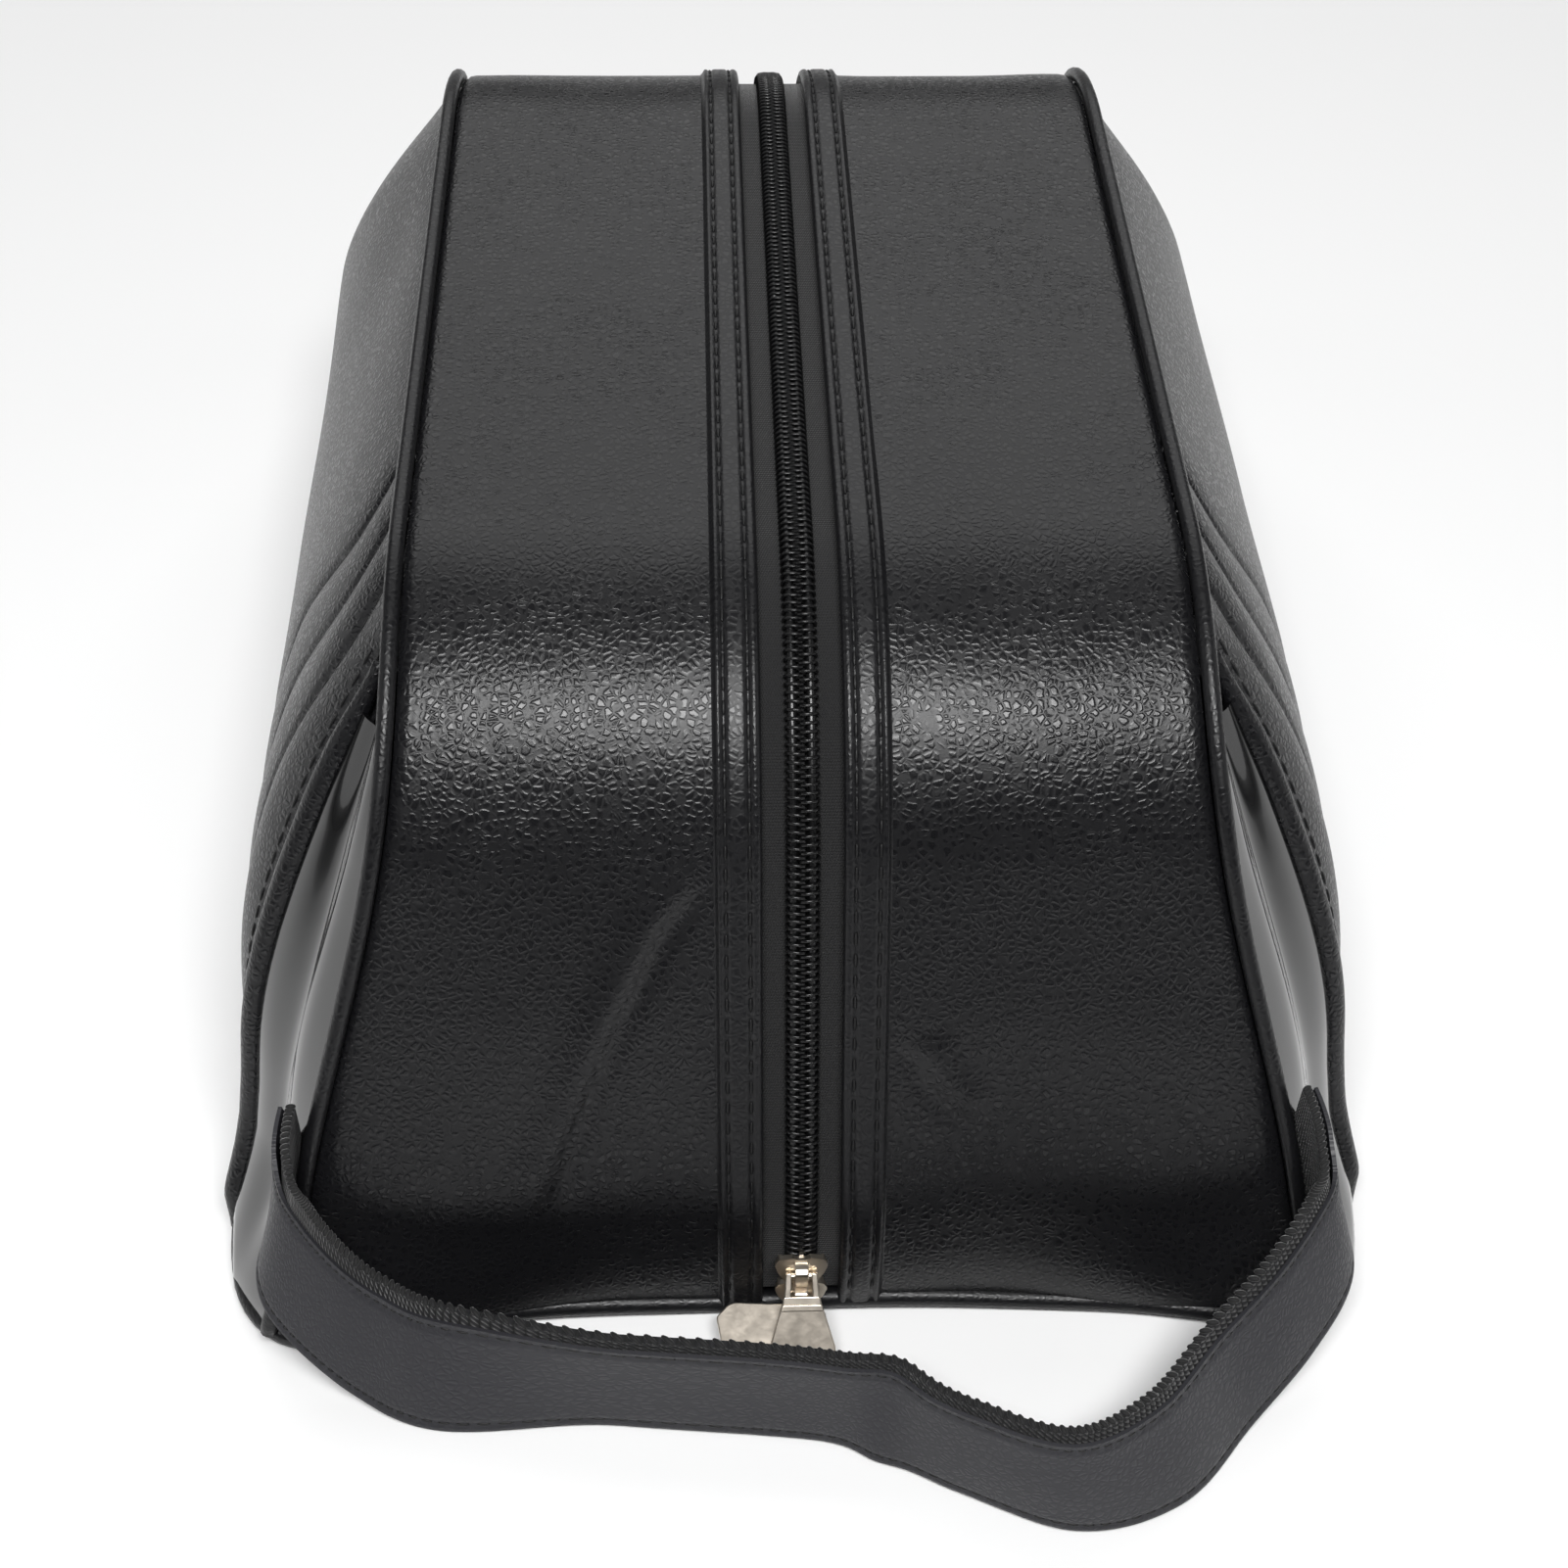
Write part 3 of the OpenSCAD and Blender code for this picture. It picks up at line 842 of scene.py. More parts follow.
@dataclass
class SideWall:
    """One bulging side: quilted panel, foam, lining, patent wedge, padded edge and seam piping."""

    side: Side
    finishes: Finishes
    leather: float = 1.6 * MM
    seam_gap: float = 1.9 * MM
    pipe_r: float = 1.65 * MM
    roll_r: float = 2.7 * MM
    roll_top: float = 119 * MM
    roll_clear: float = 2.2 * MM
    groove_steps: Triple = (15 * MM, 29 * MM, 44 * MM)   # behind the padded edge
    groove_fan: float = 0.36
    groove_depth: float = 1.5 * MM
    slack: float = 1.3 * MM         # how far the leather waves
    stitch_pitch: float = 4.4 * MM

    def groove_y(self, number: int, z: float) -> float:
        """Where a groove runs at height z: the grooves fan out below the flat top."""
        spread = 1 + self.groove_fan * smooth_step((118 * MM - z) / (34 * MM))
        return FORM.wedge_y(z) + self.groove_steps[number] * spread

    def relief(self, y: float, z: float) -> float:
        """How far the quilted leather stands off the plain side: sewn grooves, puffs and slack."""
        out = 0.0
        for number in range(len(self.groove_steps)):
            slope = (self.groove_y(number, z + MM) - self.groove_y(number, z - MM)) / (2 * MM)
            d = (y - self.groove_y(number, z)) / math.hypot(1, slope)
            seam, puff = math.exp(-(d / (0.9 * MM)) ** 2), math.exp(-(d / (4.2 * MM)) ** 2)
            out -= self.groove_depth * (0.55 * seam + 0.45 * puff)
        edge = min(FORM.half_len(z) - abs(y), FORM.height - z, y - FORM.wedge_y(z))
        out -= 0.9 * MM * math.exp(-max(0.0, edge - self.seam_gap) / (3.5 * MM))
        slack = smooth_step(edge / (25 * MM))
        where = Vector((y * 14, z * 16, 5.0 * self.side.value))
        return out + self.slack * slack * noise.noise(where)

    def thread(self, bm: Mesh, way: Callable[[float], float], z: float, length: float,
               lift: float, radius: float) -> None:
        """Adds one stitch on the quilted leather.

        Args:
            bm: The mesh to add it to.
            way: Y of the row at a height.
            z: Height of the stitch's lower end.
            length: Its rise.
            lift: How far it stands off the leather.
            radius: The thread's radius.
        """
        ends = []
        for step in (0.0, length):
            y = way(z + step)
            x = FORM.side_x(y, z + step) + self.relief(y, z + step) + lift
            ends.append(FORM.flared(Vector((x * self.side.value, y, z + step))))
        add_capsule(bm, ends[0], ends[1], radius)

    def rows(self, v: float, low: float, depth: float) -> float:
        """Height at a share of the way up, crowded towards the bend of the flat top."""
        return low + (FORM.height - self.seam_gap - depth - low) * math.sin(math.pi / 2 * v)

    def wall(self, name: str, cells: tuple[int, int], depth: float, low: float, share: float,
             finish: Material, thickness: float) -> Piece:
        """Makes one layer of the quilted part, behind the padded edge.

        Args:
            name: The piece's name.
            cells: Cells along the bag and up it.
            depth: How deep the layer lies under the side's surface.
            low: Height of its lower edge.
            share: How much of the quilted relief it takes up.
            finish: The material.
            thickness: Thickness, inwards.

        Returns:
            The piece.
        """
        grooved = 82 * MM

        def place(u: float, v: float) -> Vector:
            z = self.rows(v, low, depth)
            y0 = max(-FORM.half_len(z, self.seam_gap + depth), FORM.wedge_y(z) + self.roll_clear)
            y1 = FORM.half_len(z, self.seam_gap + depth)
            # Over half of the columns go to the grooved stretch
            near = min(grooved, 0.6 * (y1 - y0))
            y = y0 + near * u / 0.58 if u < 0.58 else y0 + near + (y1 - y0 - near) * (u - 0.58) / 0.42
            x = FORM.side_x(y, z) - depth + share * self.relief(y, z)
            return FORM.flared(Vector((x * self.side.value, y, z)))

        run = [0.0]
        for k in range(40):
            run.append(run[-1] + (place(0.6, (k + 1) / 40) - place(0.6, k / 40)).length)

        def measure(u: float, v: float) -> Pair:
            k = min(39, int(v * 40))
            return place(u, v).y, run[k] + (run[k + 1] - run[k]) * (v * 40 - k)

        bm = mapped_grid(cells, place, measure)
        face_outwards(bm, lambda p: Vector((self.side.value, 0, 0)))
        obj = to_object(f"{name}_{self.side.word}", bm, finish)
        thicken(obj, thickness)
        return obj

    def patent_wedge(self) -> Piece:
        """The glossy wedge between the padded edge and the near seam, with one soft upright fold."""
        low, tip = FORM.foot_z - 3 * MM, 112 * MM

        def place(u: float, v: float) -> Vector:
            z = low + (tip - low) * (1 - (1 - v) ** 1.4)
            y0 = -FORM.half_len(z, self.seam_gap)
            y1 = max(y0 + 0.4 * MM, FORM.wedge_y(z) - 0.3 * self.roll_r)
            y = y0 + (y1 - y0) * u
            wide = smooth_step((y1 - y0) / (14 * MM))
            fold = -2.0 * MM * math.exp(-((u - 0.52) / 0.2) ** 2) * wide * smooth_step(z / (30 * MM))
            ripple = 0.8 * MM * noise.noise(Vector((y * 30, z * 22, 9.0 * self.side.value))) * wide
            x = FORM.side_x(y, z) - 0.5 * MM + (fold + ripple) * math.sin(math.pi * u)
            return FORM.flared(Vector((x * self.side.value, y, z)))

        def measure(u: float, v: float) -> Pair:
            p = place(u, v)
            return p.y, p.z

        bm = mapped_grid((30, 110), place, measure)
        face_outwards(bm, lambda p: Vector((self.side.value, -0.3, 0)))
        obj = to_object(f"patent_wedge_{self.side.word}", bm, self.finishes.patent)
        thicken(obj, 1.2 * MM)
        return enter(obj, "patent_leather", "bag", f"patent_panel_{self.side.word}")

    def padded_edge(self) -> list[Piece]:
        """The turned and stuffed edge of the quilted panel, and its row of stitches."""
        def centre(z: float) -> Vector:
            y = FORM.wedge_y(z)
            return FORM.flared(Vector(((FORM.side_x(y, z) - self.roll_r / 3) * self.side.value, y, z)))

        def girth(t: float) -> float:
            thin = 0.45 * smooth_step((t - 0.86) / 0.14) + 0.35 * smooth_step((0.08 - t) / 0.08)
            return self.roll_r * (1 - thin)

        low = 4.5 * MM
        path = [centre(low + (self.roll_top - low) * k / 110) for k in range(111)]
        roll = to_object(f"padded_edge_{self.side.word}", tube(path, girth, 16), self.finishes.leather)
        bm = bmesh.new()
        z = low + 6 * MM
        while z < self.roll_top - 2 * MM:
            self.thread(bm, lambda h: FORM.wedge_y(h) + 5.2 * MM, z, 2.9 * MM, 0.05 * MM, THREAD_R)
            z += self.stitch_pitch * 0.85
        stitches = to_object(f"edge_stitches_{self.side.word}", bm, self.finishes.thread)
        enter(roll, "pebbled_leather", "bag", f"edge_roll_{self.side.word}")
        return [roll, enter(stitches, "pebbled_leather", "bag")]

    def quilt_stitches(self) -> Piece:
        """Thread sunk in the bottoms of the grooves."""
        bm = bmesh.new()
        for number in range(len(self.groove_steps)):
            z = 8 * MM
            while z < 123 * MM:
                self.thread(bm, lambda h: self.groove_y(number, h), z, 2.7 * MM, 0.1 * MM, 0.3 * MM)
                z += self.stitch_pitch * 0.9
        obj = to_object(f"quilt_stitches_{self.side.word}", bm, self.finishes.thread)
        return enter(obj, "pebbled_leather", "bag")

    def seam_cord(self) -> Piece:
        """The piping sewn between the gusset band and the side."""
        near = []
        for k in range(131):
            s = FORM.half_arc * k / 130
            y, z = FORM.face(s)
            near.append(FORM.flared(Vector((FORM.gusset_x(z) * self.side.value, y, z))))
        far = [Vector((p.x, -p.y, p.z)) for p in reversed(near[:-1])]
        obj = to_object(f"piping_{self.side.word}", tube(near + far, self.pipe_r, 12), self.finishes.binding)
        return enter(obj, "pebbled_leather", "bag",
                     *(f"{part}_piping_{self.side.word}" for part in ("front", "upper", "rear")))

    def build(self) -> list[Piece]:
        """Builds the whole side."""
        word = self.side.word
        quilt = self.wall("quilted_leather", (190, 92), 0.0, FORM.foot_z - 3 * MM, 1.0,
                          self.finishes.leather, self.leather)
        enter(quilt, "pebbled_leather", "bag", f"side_panel_{word}")
        foam = self.wall("side_padding", (90, 40), 2.3 * MM, FORM.foot_z + 1 * MM, 0.25,
                         self.finishes.foam, 2.1 * MM)
        enter(foam, "foam", "bag", f"side_foam_{word}")
        cloth = self.wall("side_lining_cloth", (90, 50), 5.6 * MM, FORM.foot_z + 2 * MM, 0.1,
                          self.finishes.lining, 0.4 * MM)
        enter(cloth, "lining_fabric", "bag", f"side_lining_{word}")
        return [quilt, foam, cloth, self.patent_wedge(), *self.padded_edge(), self.quilt_stitches(),
                self.seam_cord()]


# ---- the base

@dataclass
class Base:
    """Leather bottom with piping round it, a stiff board and the lining over the board."""

    finishes: Finishes
    # A quarter of the outline, in millimetres: the ends bow out towards the corners
    quarter: tuple[Pair, ...] = (
        (0, 166.5), (36, 167), (64, 168.5), (84, 171.5), (96, 173.5), (105.5, 172), (112, 166), (115.5, 157),
        (117, 143), (117, 120), (116, 90), (115.5, 45), (115.5, 0))
    half_w: float = 116 * MM    # about the outline's half width and half length
    half_l: float = 168 * MM
    pipe_r: float = 2.2 * MM
    steps: int = 240

    def outline(self, t: float, inset: float = 0.0) -> Vector:
        """A point of the base's outline.

        Args:
            t: Share of the way round.
            inset: How far inside the outline.

        Returns:
            The point, on the floor.
        """
        turn = (t * 4) % 4
        part, f = int(turn), turn % 1
        f = f if part % 2 == 0 else 1 - f
        x, y = spline(self.quarter, f * (len(self.quarter) - 1)) * MM
        x, y = x * (1 - inset / self.half_w), y * (1 - inset / self.half_l)
        return Vector((x if part in (0, 1) else -x, y if part in (0, 3) else -y, 0.0))

    def slab(self, name: str, inset: float, low: float, thickness: float, rounding: float,
             finish: Material) -> Piece:
        """A flat piece cut to the outline."""
        bm = bmesh.new()
        made = bmesh.ops.create_circle(bm, cap_ends=True, segments=self.steps, radius=1)
        for number, vert in enumerate(made["verts"]):
            vert.co = self.outline(number / self.steps, inset) + Vector((0, 0, low))
        bmesh.ops.inset_region(bm, faces=bm.faces[:], thickness=6 * MM, depth=0.0)
        flat = bm.faces[:]
        grown = bmesh.ops.extrude_face_region(bm, geom=flat)
        bmesh.ops.translate(bm, vec=(0, 0, thickness),
                            verts=[g for g in grown["geom"] if isinstance(g, bmesh.types.BMVert)])
        bmesh.ops.recalc_face_normals(bm, faces=bm.faces)
        rim = [e for e in bm.edges if e.is_manifold and e.calc_face_angle() > 1.0]
        bmesh.ops.bevel(bm, geom=rim, offset=rounding, offset_type="OFFSET", segments=2, profile=0.5,
                        affect="EDGES", material=-1)
        uv = bm.loops.layers.uv.new("UVMap")
        for face in bm.faces:
            for loop in face.loops:
                loop[uv].uv = loop.vert.co.xy
        return to_object(name, bm, finish)

    def build(self) -> list[Piece]:
        """Builds the base."""
        leather = self.slab("base_leather", 1.1 * self.pipe_r, 0.1 * MM, 1.5 * MM, 0.4 * MM,
                            self.finishes.leather)
        enter(leather, "pebbled_leather", "bag", "base_panel")
        cloth = self.slab("base_lining_cloth", 11 * MM, 4.3 * MM, 0.5 * MM, 0.1 * MM, self.finishes.lining)
        enter(cloth, "lining_fabric", "bag", "base_lining")
        path = [self.outline(k / self.steps, self.pipe_r) + Vector((0, 0, self.pipe_r))
                for k in range(self.steps)]
        for point in path:
            if point.y < 0:
                point.z += 0.5 * MM * (1 + math.sin(point.x * 90))
        cord = to_object("base_welt_cord", tube(path + path[:1], self.pipe_r, 12, closed=True),
                         self.finishes.binding)
        return [leather, cloth, enter(cord, "pebbled_leather", "bag", "base_piping")]


# ---- the strap handle

@dataclass
class StrapHandle:
    """Webbing with a leather facing, sewn into both side seams and looped in front of the near end."""

    finishes: Finishes
    width: float = 25 * MM
    leather: float = 1.6 * MM
    webbing: float = 1.6 * MM
    loop_pitch: float = 1.7 * MM    # of the corded edges
    stitch_in: float = 2.4 * MM     # from the facing's edges
    stitch_count: int = 116         # in each row
    steps: int = 300
    # X, Y and height of the lower edge, in millimetres
    route: tuple[Triple, ...] = (
        (-98, -150, 28), (-100, -160, 26), (-100, -168, 20), (-94, -174, 12), (-84, -179, 3), (-70, -184, 0),
        (-40, -187, 0), (-8, -190, 0), (12, -194, 0), (30, -203, 0), (50, -210, 0), (68, -204, 0),
        (82, -190, 1), (95, -179, 9), (103, -169, 19), (101, -160, 26), (98, -150, 28))

    def along(self, t: float) -> Vector:
        """Lower edge of the strap at a share of the way along its route."""
        point = spline(self.route, t * (len(self.route) - 1))
        point.z = max(0.0, point.z)
        return point * MM

    def length(self) -> float:
        """The strap's length along its lower edge."""
        return sum((self.along((k + 1) / 200) - self.along(k / 200)).length for k in range(200))

    def spot(self, t: float, h: float, out: float) -> Vector:
        """A point on the strap.

        Args:
            t: Share of the way along.
            h: Share of the way up its width.
            out: Distance out from its middle plane.

        Returns:
            The point.
        """
        p, q = self.along(max(0.0, t - 0.002)), self.along(min(1.0, t + 0.002))
        way = Vector((q.x - p.x, q.y - p.y, 0)).normalized()
        away = Vector((way.y, -way.x, 0))
        base = self.along(t)
        free = smooth_step(t / 0.16) * smooth_step((1 - t) / 0.16)
        # The pinch where the strap was folded once, and the slow wave of a strap on its edge
        pinch = math.exp(-((base.x - 15 * MM) / (5 * MM)) ** 2) * free
        wave = 0.9 * MM * noise.noise(Vector((base.x * 25, h * 1.2, 2.0))) * free
        # The strap leans back on the bag, most of all where it leaves the seams
        turned = (0.5 - h) * (3.5 * MM + 8.0 * MM * smooth_step((abs(base.x) - 35 * MM) / (40 * MM))) * free
        dent = pinch * (-2.6 * MM * smooth_step(h) + 1.4 * MM * (1 - h)) + turned
        lift = self.width * h - pinch * 1.5 * MM * h
        return base + away * (out + wave + dent) + Vector((0, 0, 0.3 * MM + lift))

    def strip(self, name: str, cells: int, out: Callable[[float, float], float], thickness: float,
              finish: Material, across: Pair = (0.0, 1.0)) -> Piece:
        """Makes one lengthwise layer of the strap.

        Args:
            name: The piece's name.
            cells: Cells across the strap.
            out: Height over the middle plane at (share up the width, share along).
            thickness: Thickness, inwards.
            finish: The material.
            across: Shares of the width where the layer begins and ends.

        Returns:
            The piece.
        """
        length = self.length()

        def place(u: float, v: float) -> Vector:
            h = across[0] + (across[1] - across[0]) * u
            return self.spot(v, h, out(h, v))

        def measure(u: float, v: float) -> Pair:
            return (across[0] + (across[1] - across[0]) * u) * self.width, v * length

        bm = mapped_grid((cells, self.steps), place, measure)
        face_outwards(bm, lambda p: Vector((0, -1, 0)))
        obj = to_object(name, bm, finish)
        thicken(obj, thickness)
        return obj

    def facing_relief(self, h: float, t: float) -> float:
        """Section of the facing: turned edges, and a groove along the stitches."""
        edge = min(h, 1 - h) * self.width
        fold = self.leather * math.sqrt(max(0.0, 1 - (1 - min(1.0, edge / (1.4 * MM))) ** 2))
        groove = 0.45 * MM * math.exp(-((edge - self.stitch_in) / (0.45 * MM)) ** 2)
        return 0.2 * MM + fold - groove

    def braid(self) -> Piece:
        """The corded top and bottom edges of the webbing: a row of slanting yarn loops."""
        bm = bmesh.new()
        count = int(self.length() / self.loop_pitch)
        for h in (0.985, 0.015):
            for k in range(count):
                t = (k + 0.5) / count
                half = 0.42 / count
                a = self.spot(t - half, h, -1.9 * MM)
                b = self.spot(t + half, h, 0.1 * MM)
                lift = Vector((0, 0, 0.35 * MM if h > 0.5 else 0.2 * MM))
                add_capsule(bm, a + lift, b + lift, 0.62 * MM)
        return to_object("strap_braided_edges", bm, self.finishes.webbing)

    def stitches(self) -> Piece:
        """A row of thread along each edge of the facing."""
        bm = bmesh.new()
        count = self.stitch_count
        for h in (self.stitch_in / self.width, 1 - self.stitch_in / self.width):
            for k in range(count):
                t, half = (k + 0.5) / count, 0.33 / count
                out = self.facing_relief(h, t) + 0.12 * MM
                add_capsule(bm, self.spot(t - half, h, out), self.spot(t + half, h, out), 0.32 * MM)
        return to_object("strap_stitches", bm, self.finishes.thread)

    def build(self) -> list[Piece]:
        """Builds the strap."""
        web = self.strip("strap_webbing", 16, lambda h, t: -0.05 * MM, self.webbing, self.finishes.webbing)
        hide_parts("handle_webbing")
        face = self.strip("strap_facing", 34, self.facing_relief, 0.8 * MM, self.finishes.strap_leather,
                          across=(0.012, 0.955))
        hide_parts("handle_facing", "handle_tab_left", "handle_tab_right")
        made = [web, face, self.braid(), self.stitches()]
        for obj, name in zip(made, ("webbing", "pebbled_leather", "webbing", "webbing")):
            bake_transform(obj)
        return made


# ---- sliders and pulls

def cut_plate(bm: Mesh, points: Iterable[Pair], low: float, high: float,
              corner: float, rim: float, matrix: Matrix = Matrix.Identity(4)) -> None:
    """Adds a flat plate with rounded corners and rims, drawn in millimetres.

    Args:
        bm: The mesh to add it to.
        points: The outline.
        low: Height of the underside.
        high: Height of the top.
        corner: Rounding of the outline's corners.
        rim: Rounding of the top and bottom rims.
        matrix: Turns and places the plate.
    """
    part = bmesh.new()
    face = part.faces.new([part.verts.new((x * MM, y * MM, low * MM)) for x, y in points])
    grown = bmesh.ops.extrude_face_region(part, geom=[face])
    bmesh.ops.translate(part, vec=(0, 0, (high - low) * MM),
                        verts=[g for g in grown["geom"] if isinstance(g, bmesh.types.BMVert)])
    bmesh.ops.recalc_face_normals(part, faces=part.faces)
    upright = [e for e in part.edges if abs(e.verts[0].co.z - e.verts[1].co.z) > 0.01 * MM]
    bmesh.ops.bevel(part, geom=upright, offset=corner * MM, offset_type="OFFSET", segments=4, profile=0.5,
                    affect="EDGES", material=-1, clamp_overlap=True)
    rims = [e for e in part.edges if e.calc_face_angle(0) > 1.2]
    bmesh.ops.bevel(part, geom=rims, offset=rim * MM, offset_type="OFFSET", segments=3, profile=0.5,
                    affect="EDGES", material=-1, clamp_overlap=True)
    part.transform(matrix)
    for face in part.faces:
        face.smooth = face.calc_area() < 1.5e-6
    append(bm, part)


@dataclass
class ZipSlider:
    """A slider on the coil at the foot of the near end, with its pull."""

    word: str
    start: float                # where the slider starts, from the foot
    tilt: float                 # slope of the pull down to the floor
    yaw: float                  # how far the pull's plate turns to the left
    reach: float                # length of the pull's plate, in millimetres
    finishes: Finishes
    length: float = 7.0
    half_w: float = 5.3
    plate_low: float = 0.75
    plate_high: float = 1.85
    bar_along: float = 2.6
    bar_out: float = 2.65

    def frame(self, s: float, out: float) -> Matrix:
        """Local axes at a place on the zip: X across, Y up along it and Z outwards."""
        a = FORM.lean(s)
        y, z = FORM.face(s, out)
        up, away = Vector((0, math.cos(a), math.sin(a))), Vector((0, -math.sin(a), math.cos(a)))
        matrix = Matrix((Vector((1, 0, 0)), up, away)).transposed().to_4x4()
        matrix.translation = Vector((0, y, z))
        return matrix

    def slider(self) -> Piece:
        """The slider's two plates, side flanges, post and crown."""
        bm = bmesh.new()
        h, w = self.length / 2, self.half_w
        outline = ((-w * 0.62, -h), (w * 0.62, -h), (w * 0.86, -h * 0.35), (w, h * 0.35),
                   (w * 0.84, h * 0.86), (w * 0.3, h), (w * 0.2, h * 0.8), (-w * 0.2, h * 0.8),
                   (-w * 0.3, h), (-w * 0.84, h * 0.86), (-w, h * 0.35), (-w * 0.86, -h * 0.35))
        cut_plate(bm, outline, self.plate_low, self.plate_high, 0.5, 0.3)
        cut_plate(bm, outline, -4.3, -3.2, 0.5, 0.3)
        for side in (-1, 1):
            flange = [(side * x, y) for x, y in ((w * 0.66, -h + 0.1), (w * 0.66 - 0.9, -h + 0.1),
                                                (w * 0.88 - 0.9, h * 0.5), (w * 0.88, h * 0.5))]
            cut_plate(bm, flange, -0.7, self.plate_low + 0.3, 0.15, 0.15)
        cut_plate(bm, ((-0.3, h - 2.2), (0.3, h - 2.2), (0.45, h - 0.3), (-0.45, h - 0.3)), -3.4,
                  self.plate_low + 0.2, 0.1, 0.1)
        # The crown: a flat bridge over the pull's bar
        crown_y = self.bar_along - h
        bridge = ((-2.5, 1.5), (-2.3, 3.5), (-1.6, 4.3), (1.9, 4.3), (2.7, 3.4), (3.1, 1.5),
                  (2.2, 1.5), (1.9, 3.0), (1.5, 3.5), (-1.2, 3.5), (-1.6, 3.0), (-1.7, 1.5))
        stand = Matrix(((0, 0, 1, 0), (1, 0, 0, crown_y * MM), (0, 1, 0, 0), (0, 0, 0, 1)))
        cut_plate(bm, bridge, -1.35, 1.35, 0.25, 0.2, stand)
        bm.transform(self.frame(self.start + h * MM, 0.0))
        obj = to_object(f"slider_body_{self.word}", bm, self.finishes.nickel)
        return enter(obj, "nickel", f"slider_{self.word}", f"slider_{self.word}")

    def pull(self) -> Piece:
        """The pull: a bar in the crown, an eye with two arms, a step and the flat plate."""
        bm = bmesh.new()
        bmesh.ops.create_cone(bm, cap_ends=True, segments=20, radius1=0.62 * MM, radius2=0.62 * MM,
                              depth=6.0 * MM, matrix=Matrix.Rotation(math.pi / 2, 4, "Y"))
        for side in (-1, 1):
            arm = [(side * x, y) for x, y in ((1.9, 0.7), (3.1, 0.5), (3.5, -4.9), (2.2, -4.9))]
            cut_plate(bm, arm, -0.7, 0.7, 0.4, 0.25)
        cut_plate(bm, ((-3.6, -4.0), (3.6, -4.0), (3.9, -5.9), (-3.9, -5.9)), -0.75, 0.75, 0.4, 0.25)
        turned = Matrix.Translation((0, -5 * MM, 0)) @ Matrix.Rotation(-self.yaw, 4, "Z")
        far = -self.reach
        plate = ((-3.7, 0.3), (3.7, 0.3), (6.6, far + 3.9), (6.3, far + 2.6), (4.4, far), (-4.4, far),
                 (-6.3, far + 2.6), (-6.6, far + 3.9))
        cut_plate(bm, plate, -0.7, 0.6, 0.5, 0.28, turned)
        # A raised ledge crosses the plate below the eye
        cut_plate(bm, ((-3.9, -0.6), (3.9, -0.6), (4.3, -1.9), (-4.3, -1.9)), 0.5, 0.95, 0.3, 0.2, turned)
        bar = self.frame(self.start + self.bar_along * MM, self.bar_out * MM).translation
        bm.transform(Matrix.Translation(bar) @ Matrix.Rotation(self.tilt, 4, "X"))
        obj = to_object(f"pull_{self.word}_plate", bm, self.finishes.nickel)
        return enter(obj, "nickel", f"pull_{self.word}", f"pull_tab_{self.word}")

    def build(self) -> list[Piece]:
        """Builds the slider and its pull."""
        return [self.slider(), self.pull()]


# ---- the studio

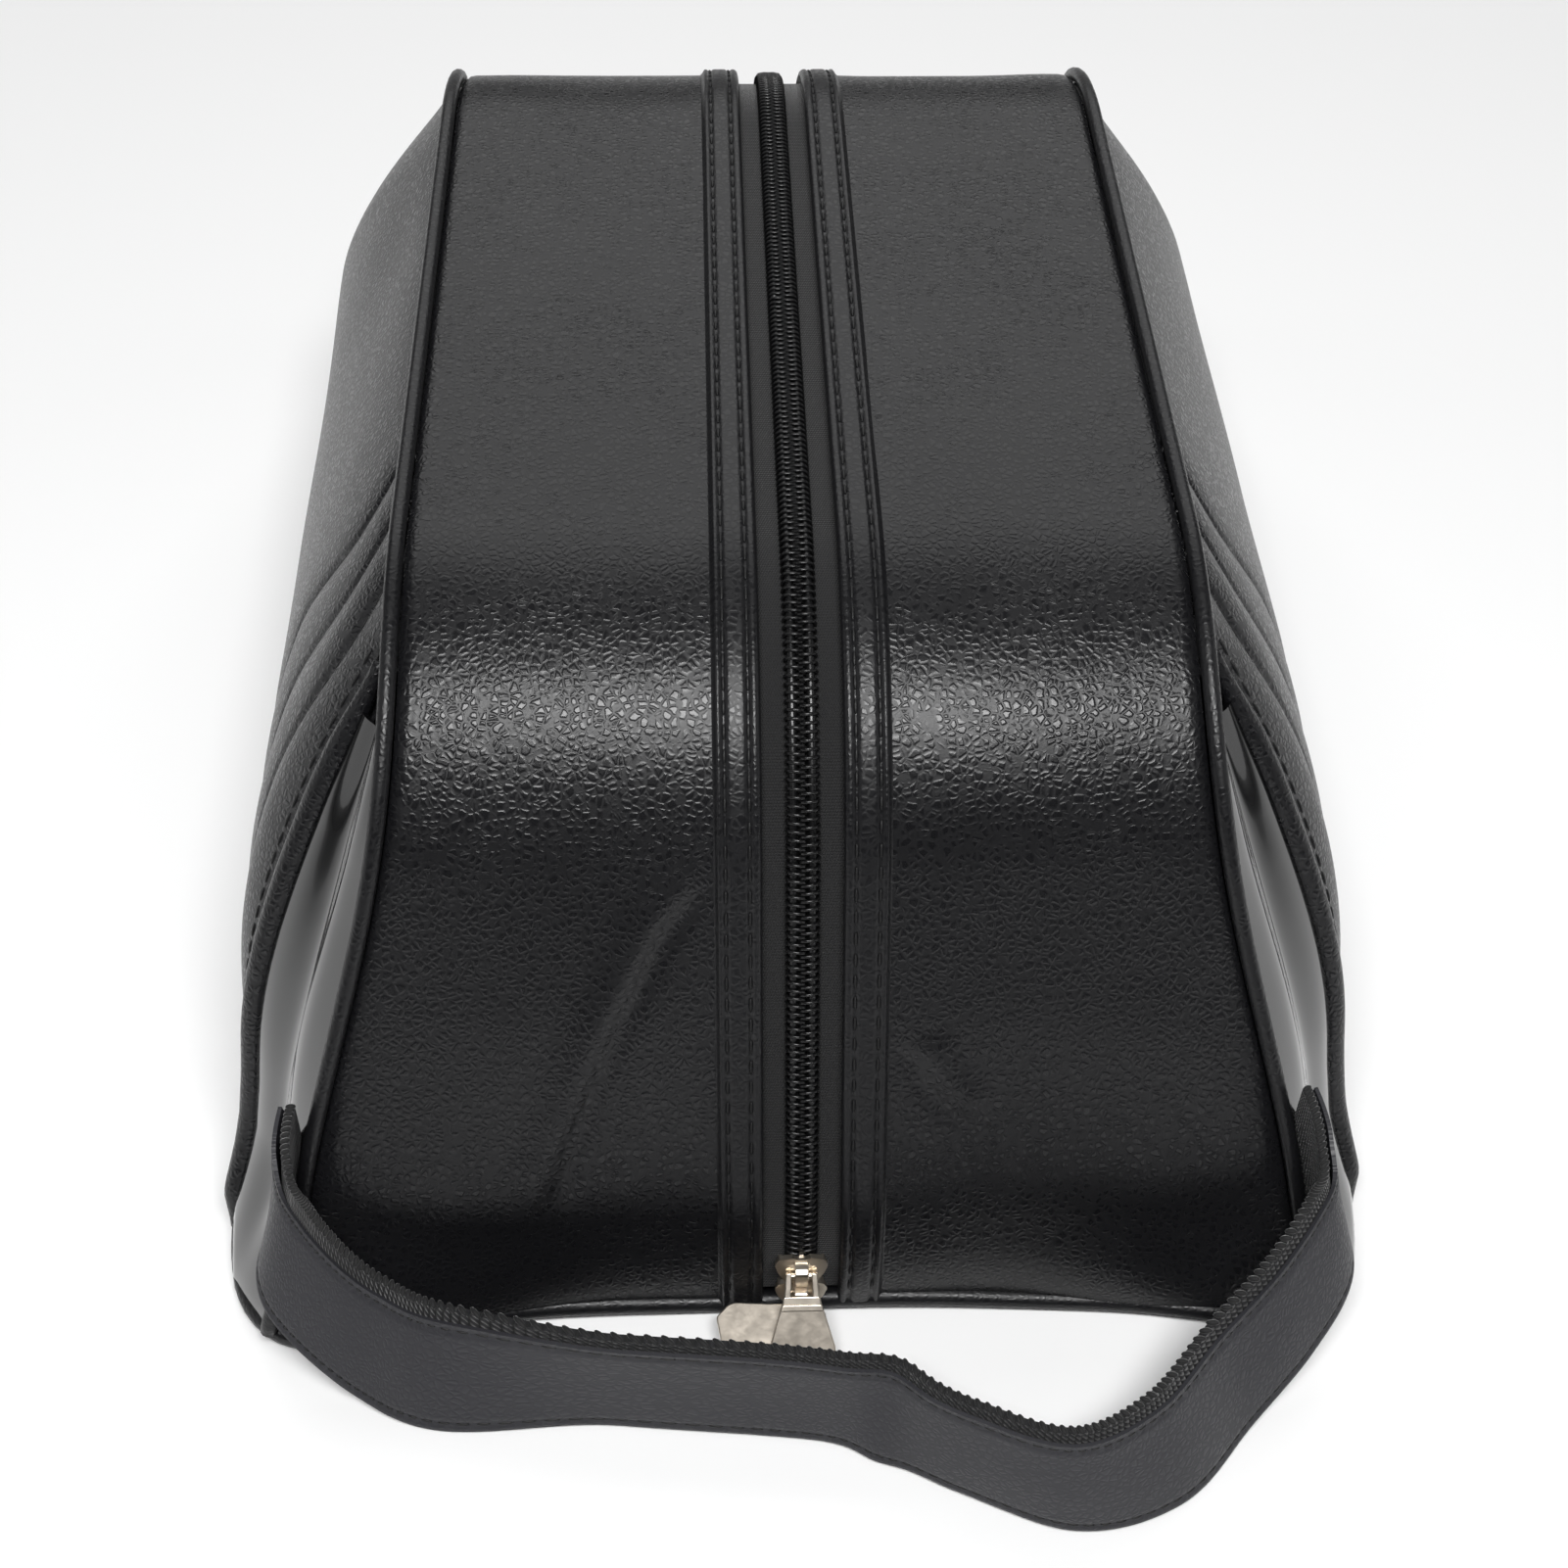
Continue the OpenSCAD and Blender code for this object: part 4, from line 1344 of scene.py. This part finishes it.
@dataclass
class Studio:
    """Pale floor, soft light from above and the sides, and the camera."""

    location: Triple = (-0.0180, -0.4047, 0.4165)
    pitch: float = math.radians(47.21)
    yaw: float = math.radians(-2.93)
    roll: float = math.radians(1.38)
    lens: float = 52.84         # on a 36 mm sensor

    def camera(self) -> None:
        """Sets up the camera."""
        data = bpy.data.cameras.new("camera")
        data.lens, data.sensor_width, data.clip_start = self.lens, 36, 0.01
        cam = bpy.data.objects.new("camera", data)
        bpy.context.scene.collection.objects.link(cam)
        turn = (Matrix.Rotation(self.yaw, 4, "Z") @ Matrix.Rotation(math.pi / 2 - self.pitch, 4, "X")
                @ Matrix.Rotation(self.roll, 4, "Z"))
        cam.matrix_world = Matrix.Translation(self.location) @ turn
        bpy.context.scene.camera = cam

    def softbox(self, name: str, place: Triple, size: Pair,
                power: float, aim: Triple = (0, 0, 0.06)) -> None:
        """Hangs one soft light, turned towards a point."""
        data = bpy.data.lights.new(name, "AREA")
        data.shape, data.size, data.size_y, data.energy = "RECTANGLE", size[0], size[1], power
        lamp = bpy.data.objects.new(name, data)
        bpy.context.scene.collection.objects.link(lamp)
        lamp.location = place
        lamp.rotation_euler = (Vector(aim) - Vector(place)).to_track_quat("-Z", "Y").to_euler()

    def floor(self) -> None:
        """Lays the floor: matt white board with a faint tooth."""
        material, tree, shader = fresh_material("matt_white_board")
        where = add(tree, "ShaderNodeTexCoord").outputs["Object"]
        height_bump(tree, shader, noise_of(tree, where, 900.0, 2.0).outputs["Fac"], 0.02 * MM)
        set_inputs(shader, {"Base Color": linear("#f6f6f6"), "Roughness": 0.9})
        bm = bmesh.new()
        bmesh.ops.create_grid(bm, x_segments=8, y_segments=8, size=6)
        obj = to_object("floor", bm, material)

    def build(self) -> None:
        """Sets up the whole studio."""
        self.camera()
        self.floor()
        self.softbox("key", (0.0, -0.66, 1.2), (0.8, 0.28), 18, (0, -0.1, 0.08))
        self.softbox("back", (0.0, 1.35, 1.35), (2.4, 1.6), 18)
        self.softbox("left", (-1.5, -0.2, 0.6), (1.2, 0.9), 2.5)
        self.softbox("right", (1.5, -0.2, 0.6), (1.2, 0.9), 2.5)
        world = bpy.data.worlds.new("studio")
        bpy.context.scene.world = world
        world.use_nodes = True
        set_inputs(world.node_tree.nodes["Background"], {"Color": (1, 1, 1, 1), "Strength": 0.03})
        bpy.context.scene.view_settings.view_transform = "Standard"


def main() -> None:
    """Builds the bag, piece by piece."""
    logging.basicConfig(level=logging.INFO, format="%(name)s: %(message)s")
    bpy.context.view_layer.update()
    Studio().build()
    finishes = Finishes()
    parts = [GussetHalf(side, end, finishes) for side in Side for end in End]
    parts += [SideWall(side, finishes) for side in Side]
    parts += [Base(finishes), StrapHandle(finishes),
              ZipSlider("upper", 7.75 * MM, math.radians(40), 0.0, 13.2, finishes),
              ZipSlider("lower", 0.4 * MM, math.radians(13), math.radians(80), 16.5, finishes)]
    for part in parts:
        for obj in part.build():
            log.info("%s: %d faces", obj.name, len(obj.data.polygons))
    for name, material in (("base_board", finishes.board), ("zip_stop_front", finishes.thread),
                           ("zip_stop_rear", finishes.thread)):
        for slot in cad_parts[name].material_slots:
            slot.material = material


if __name__ == "__main__":
    main()
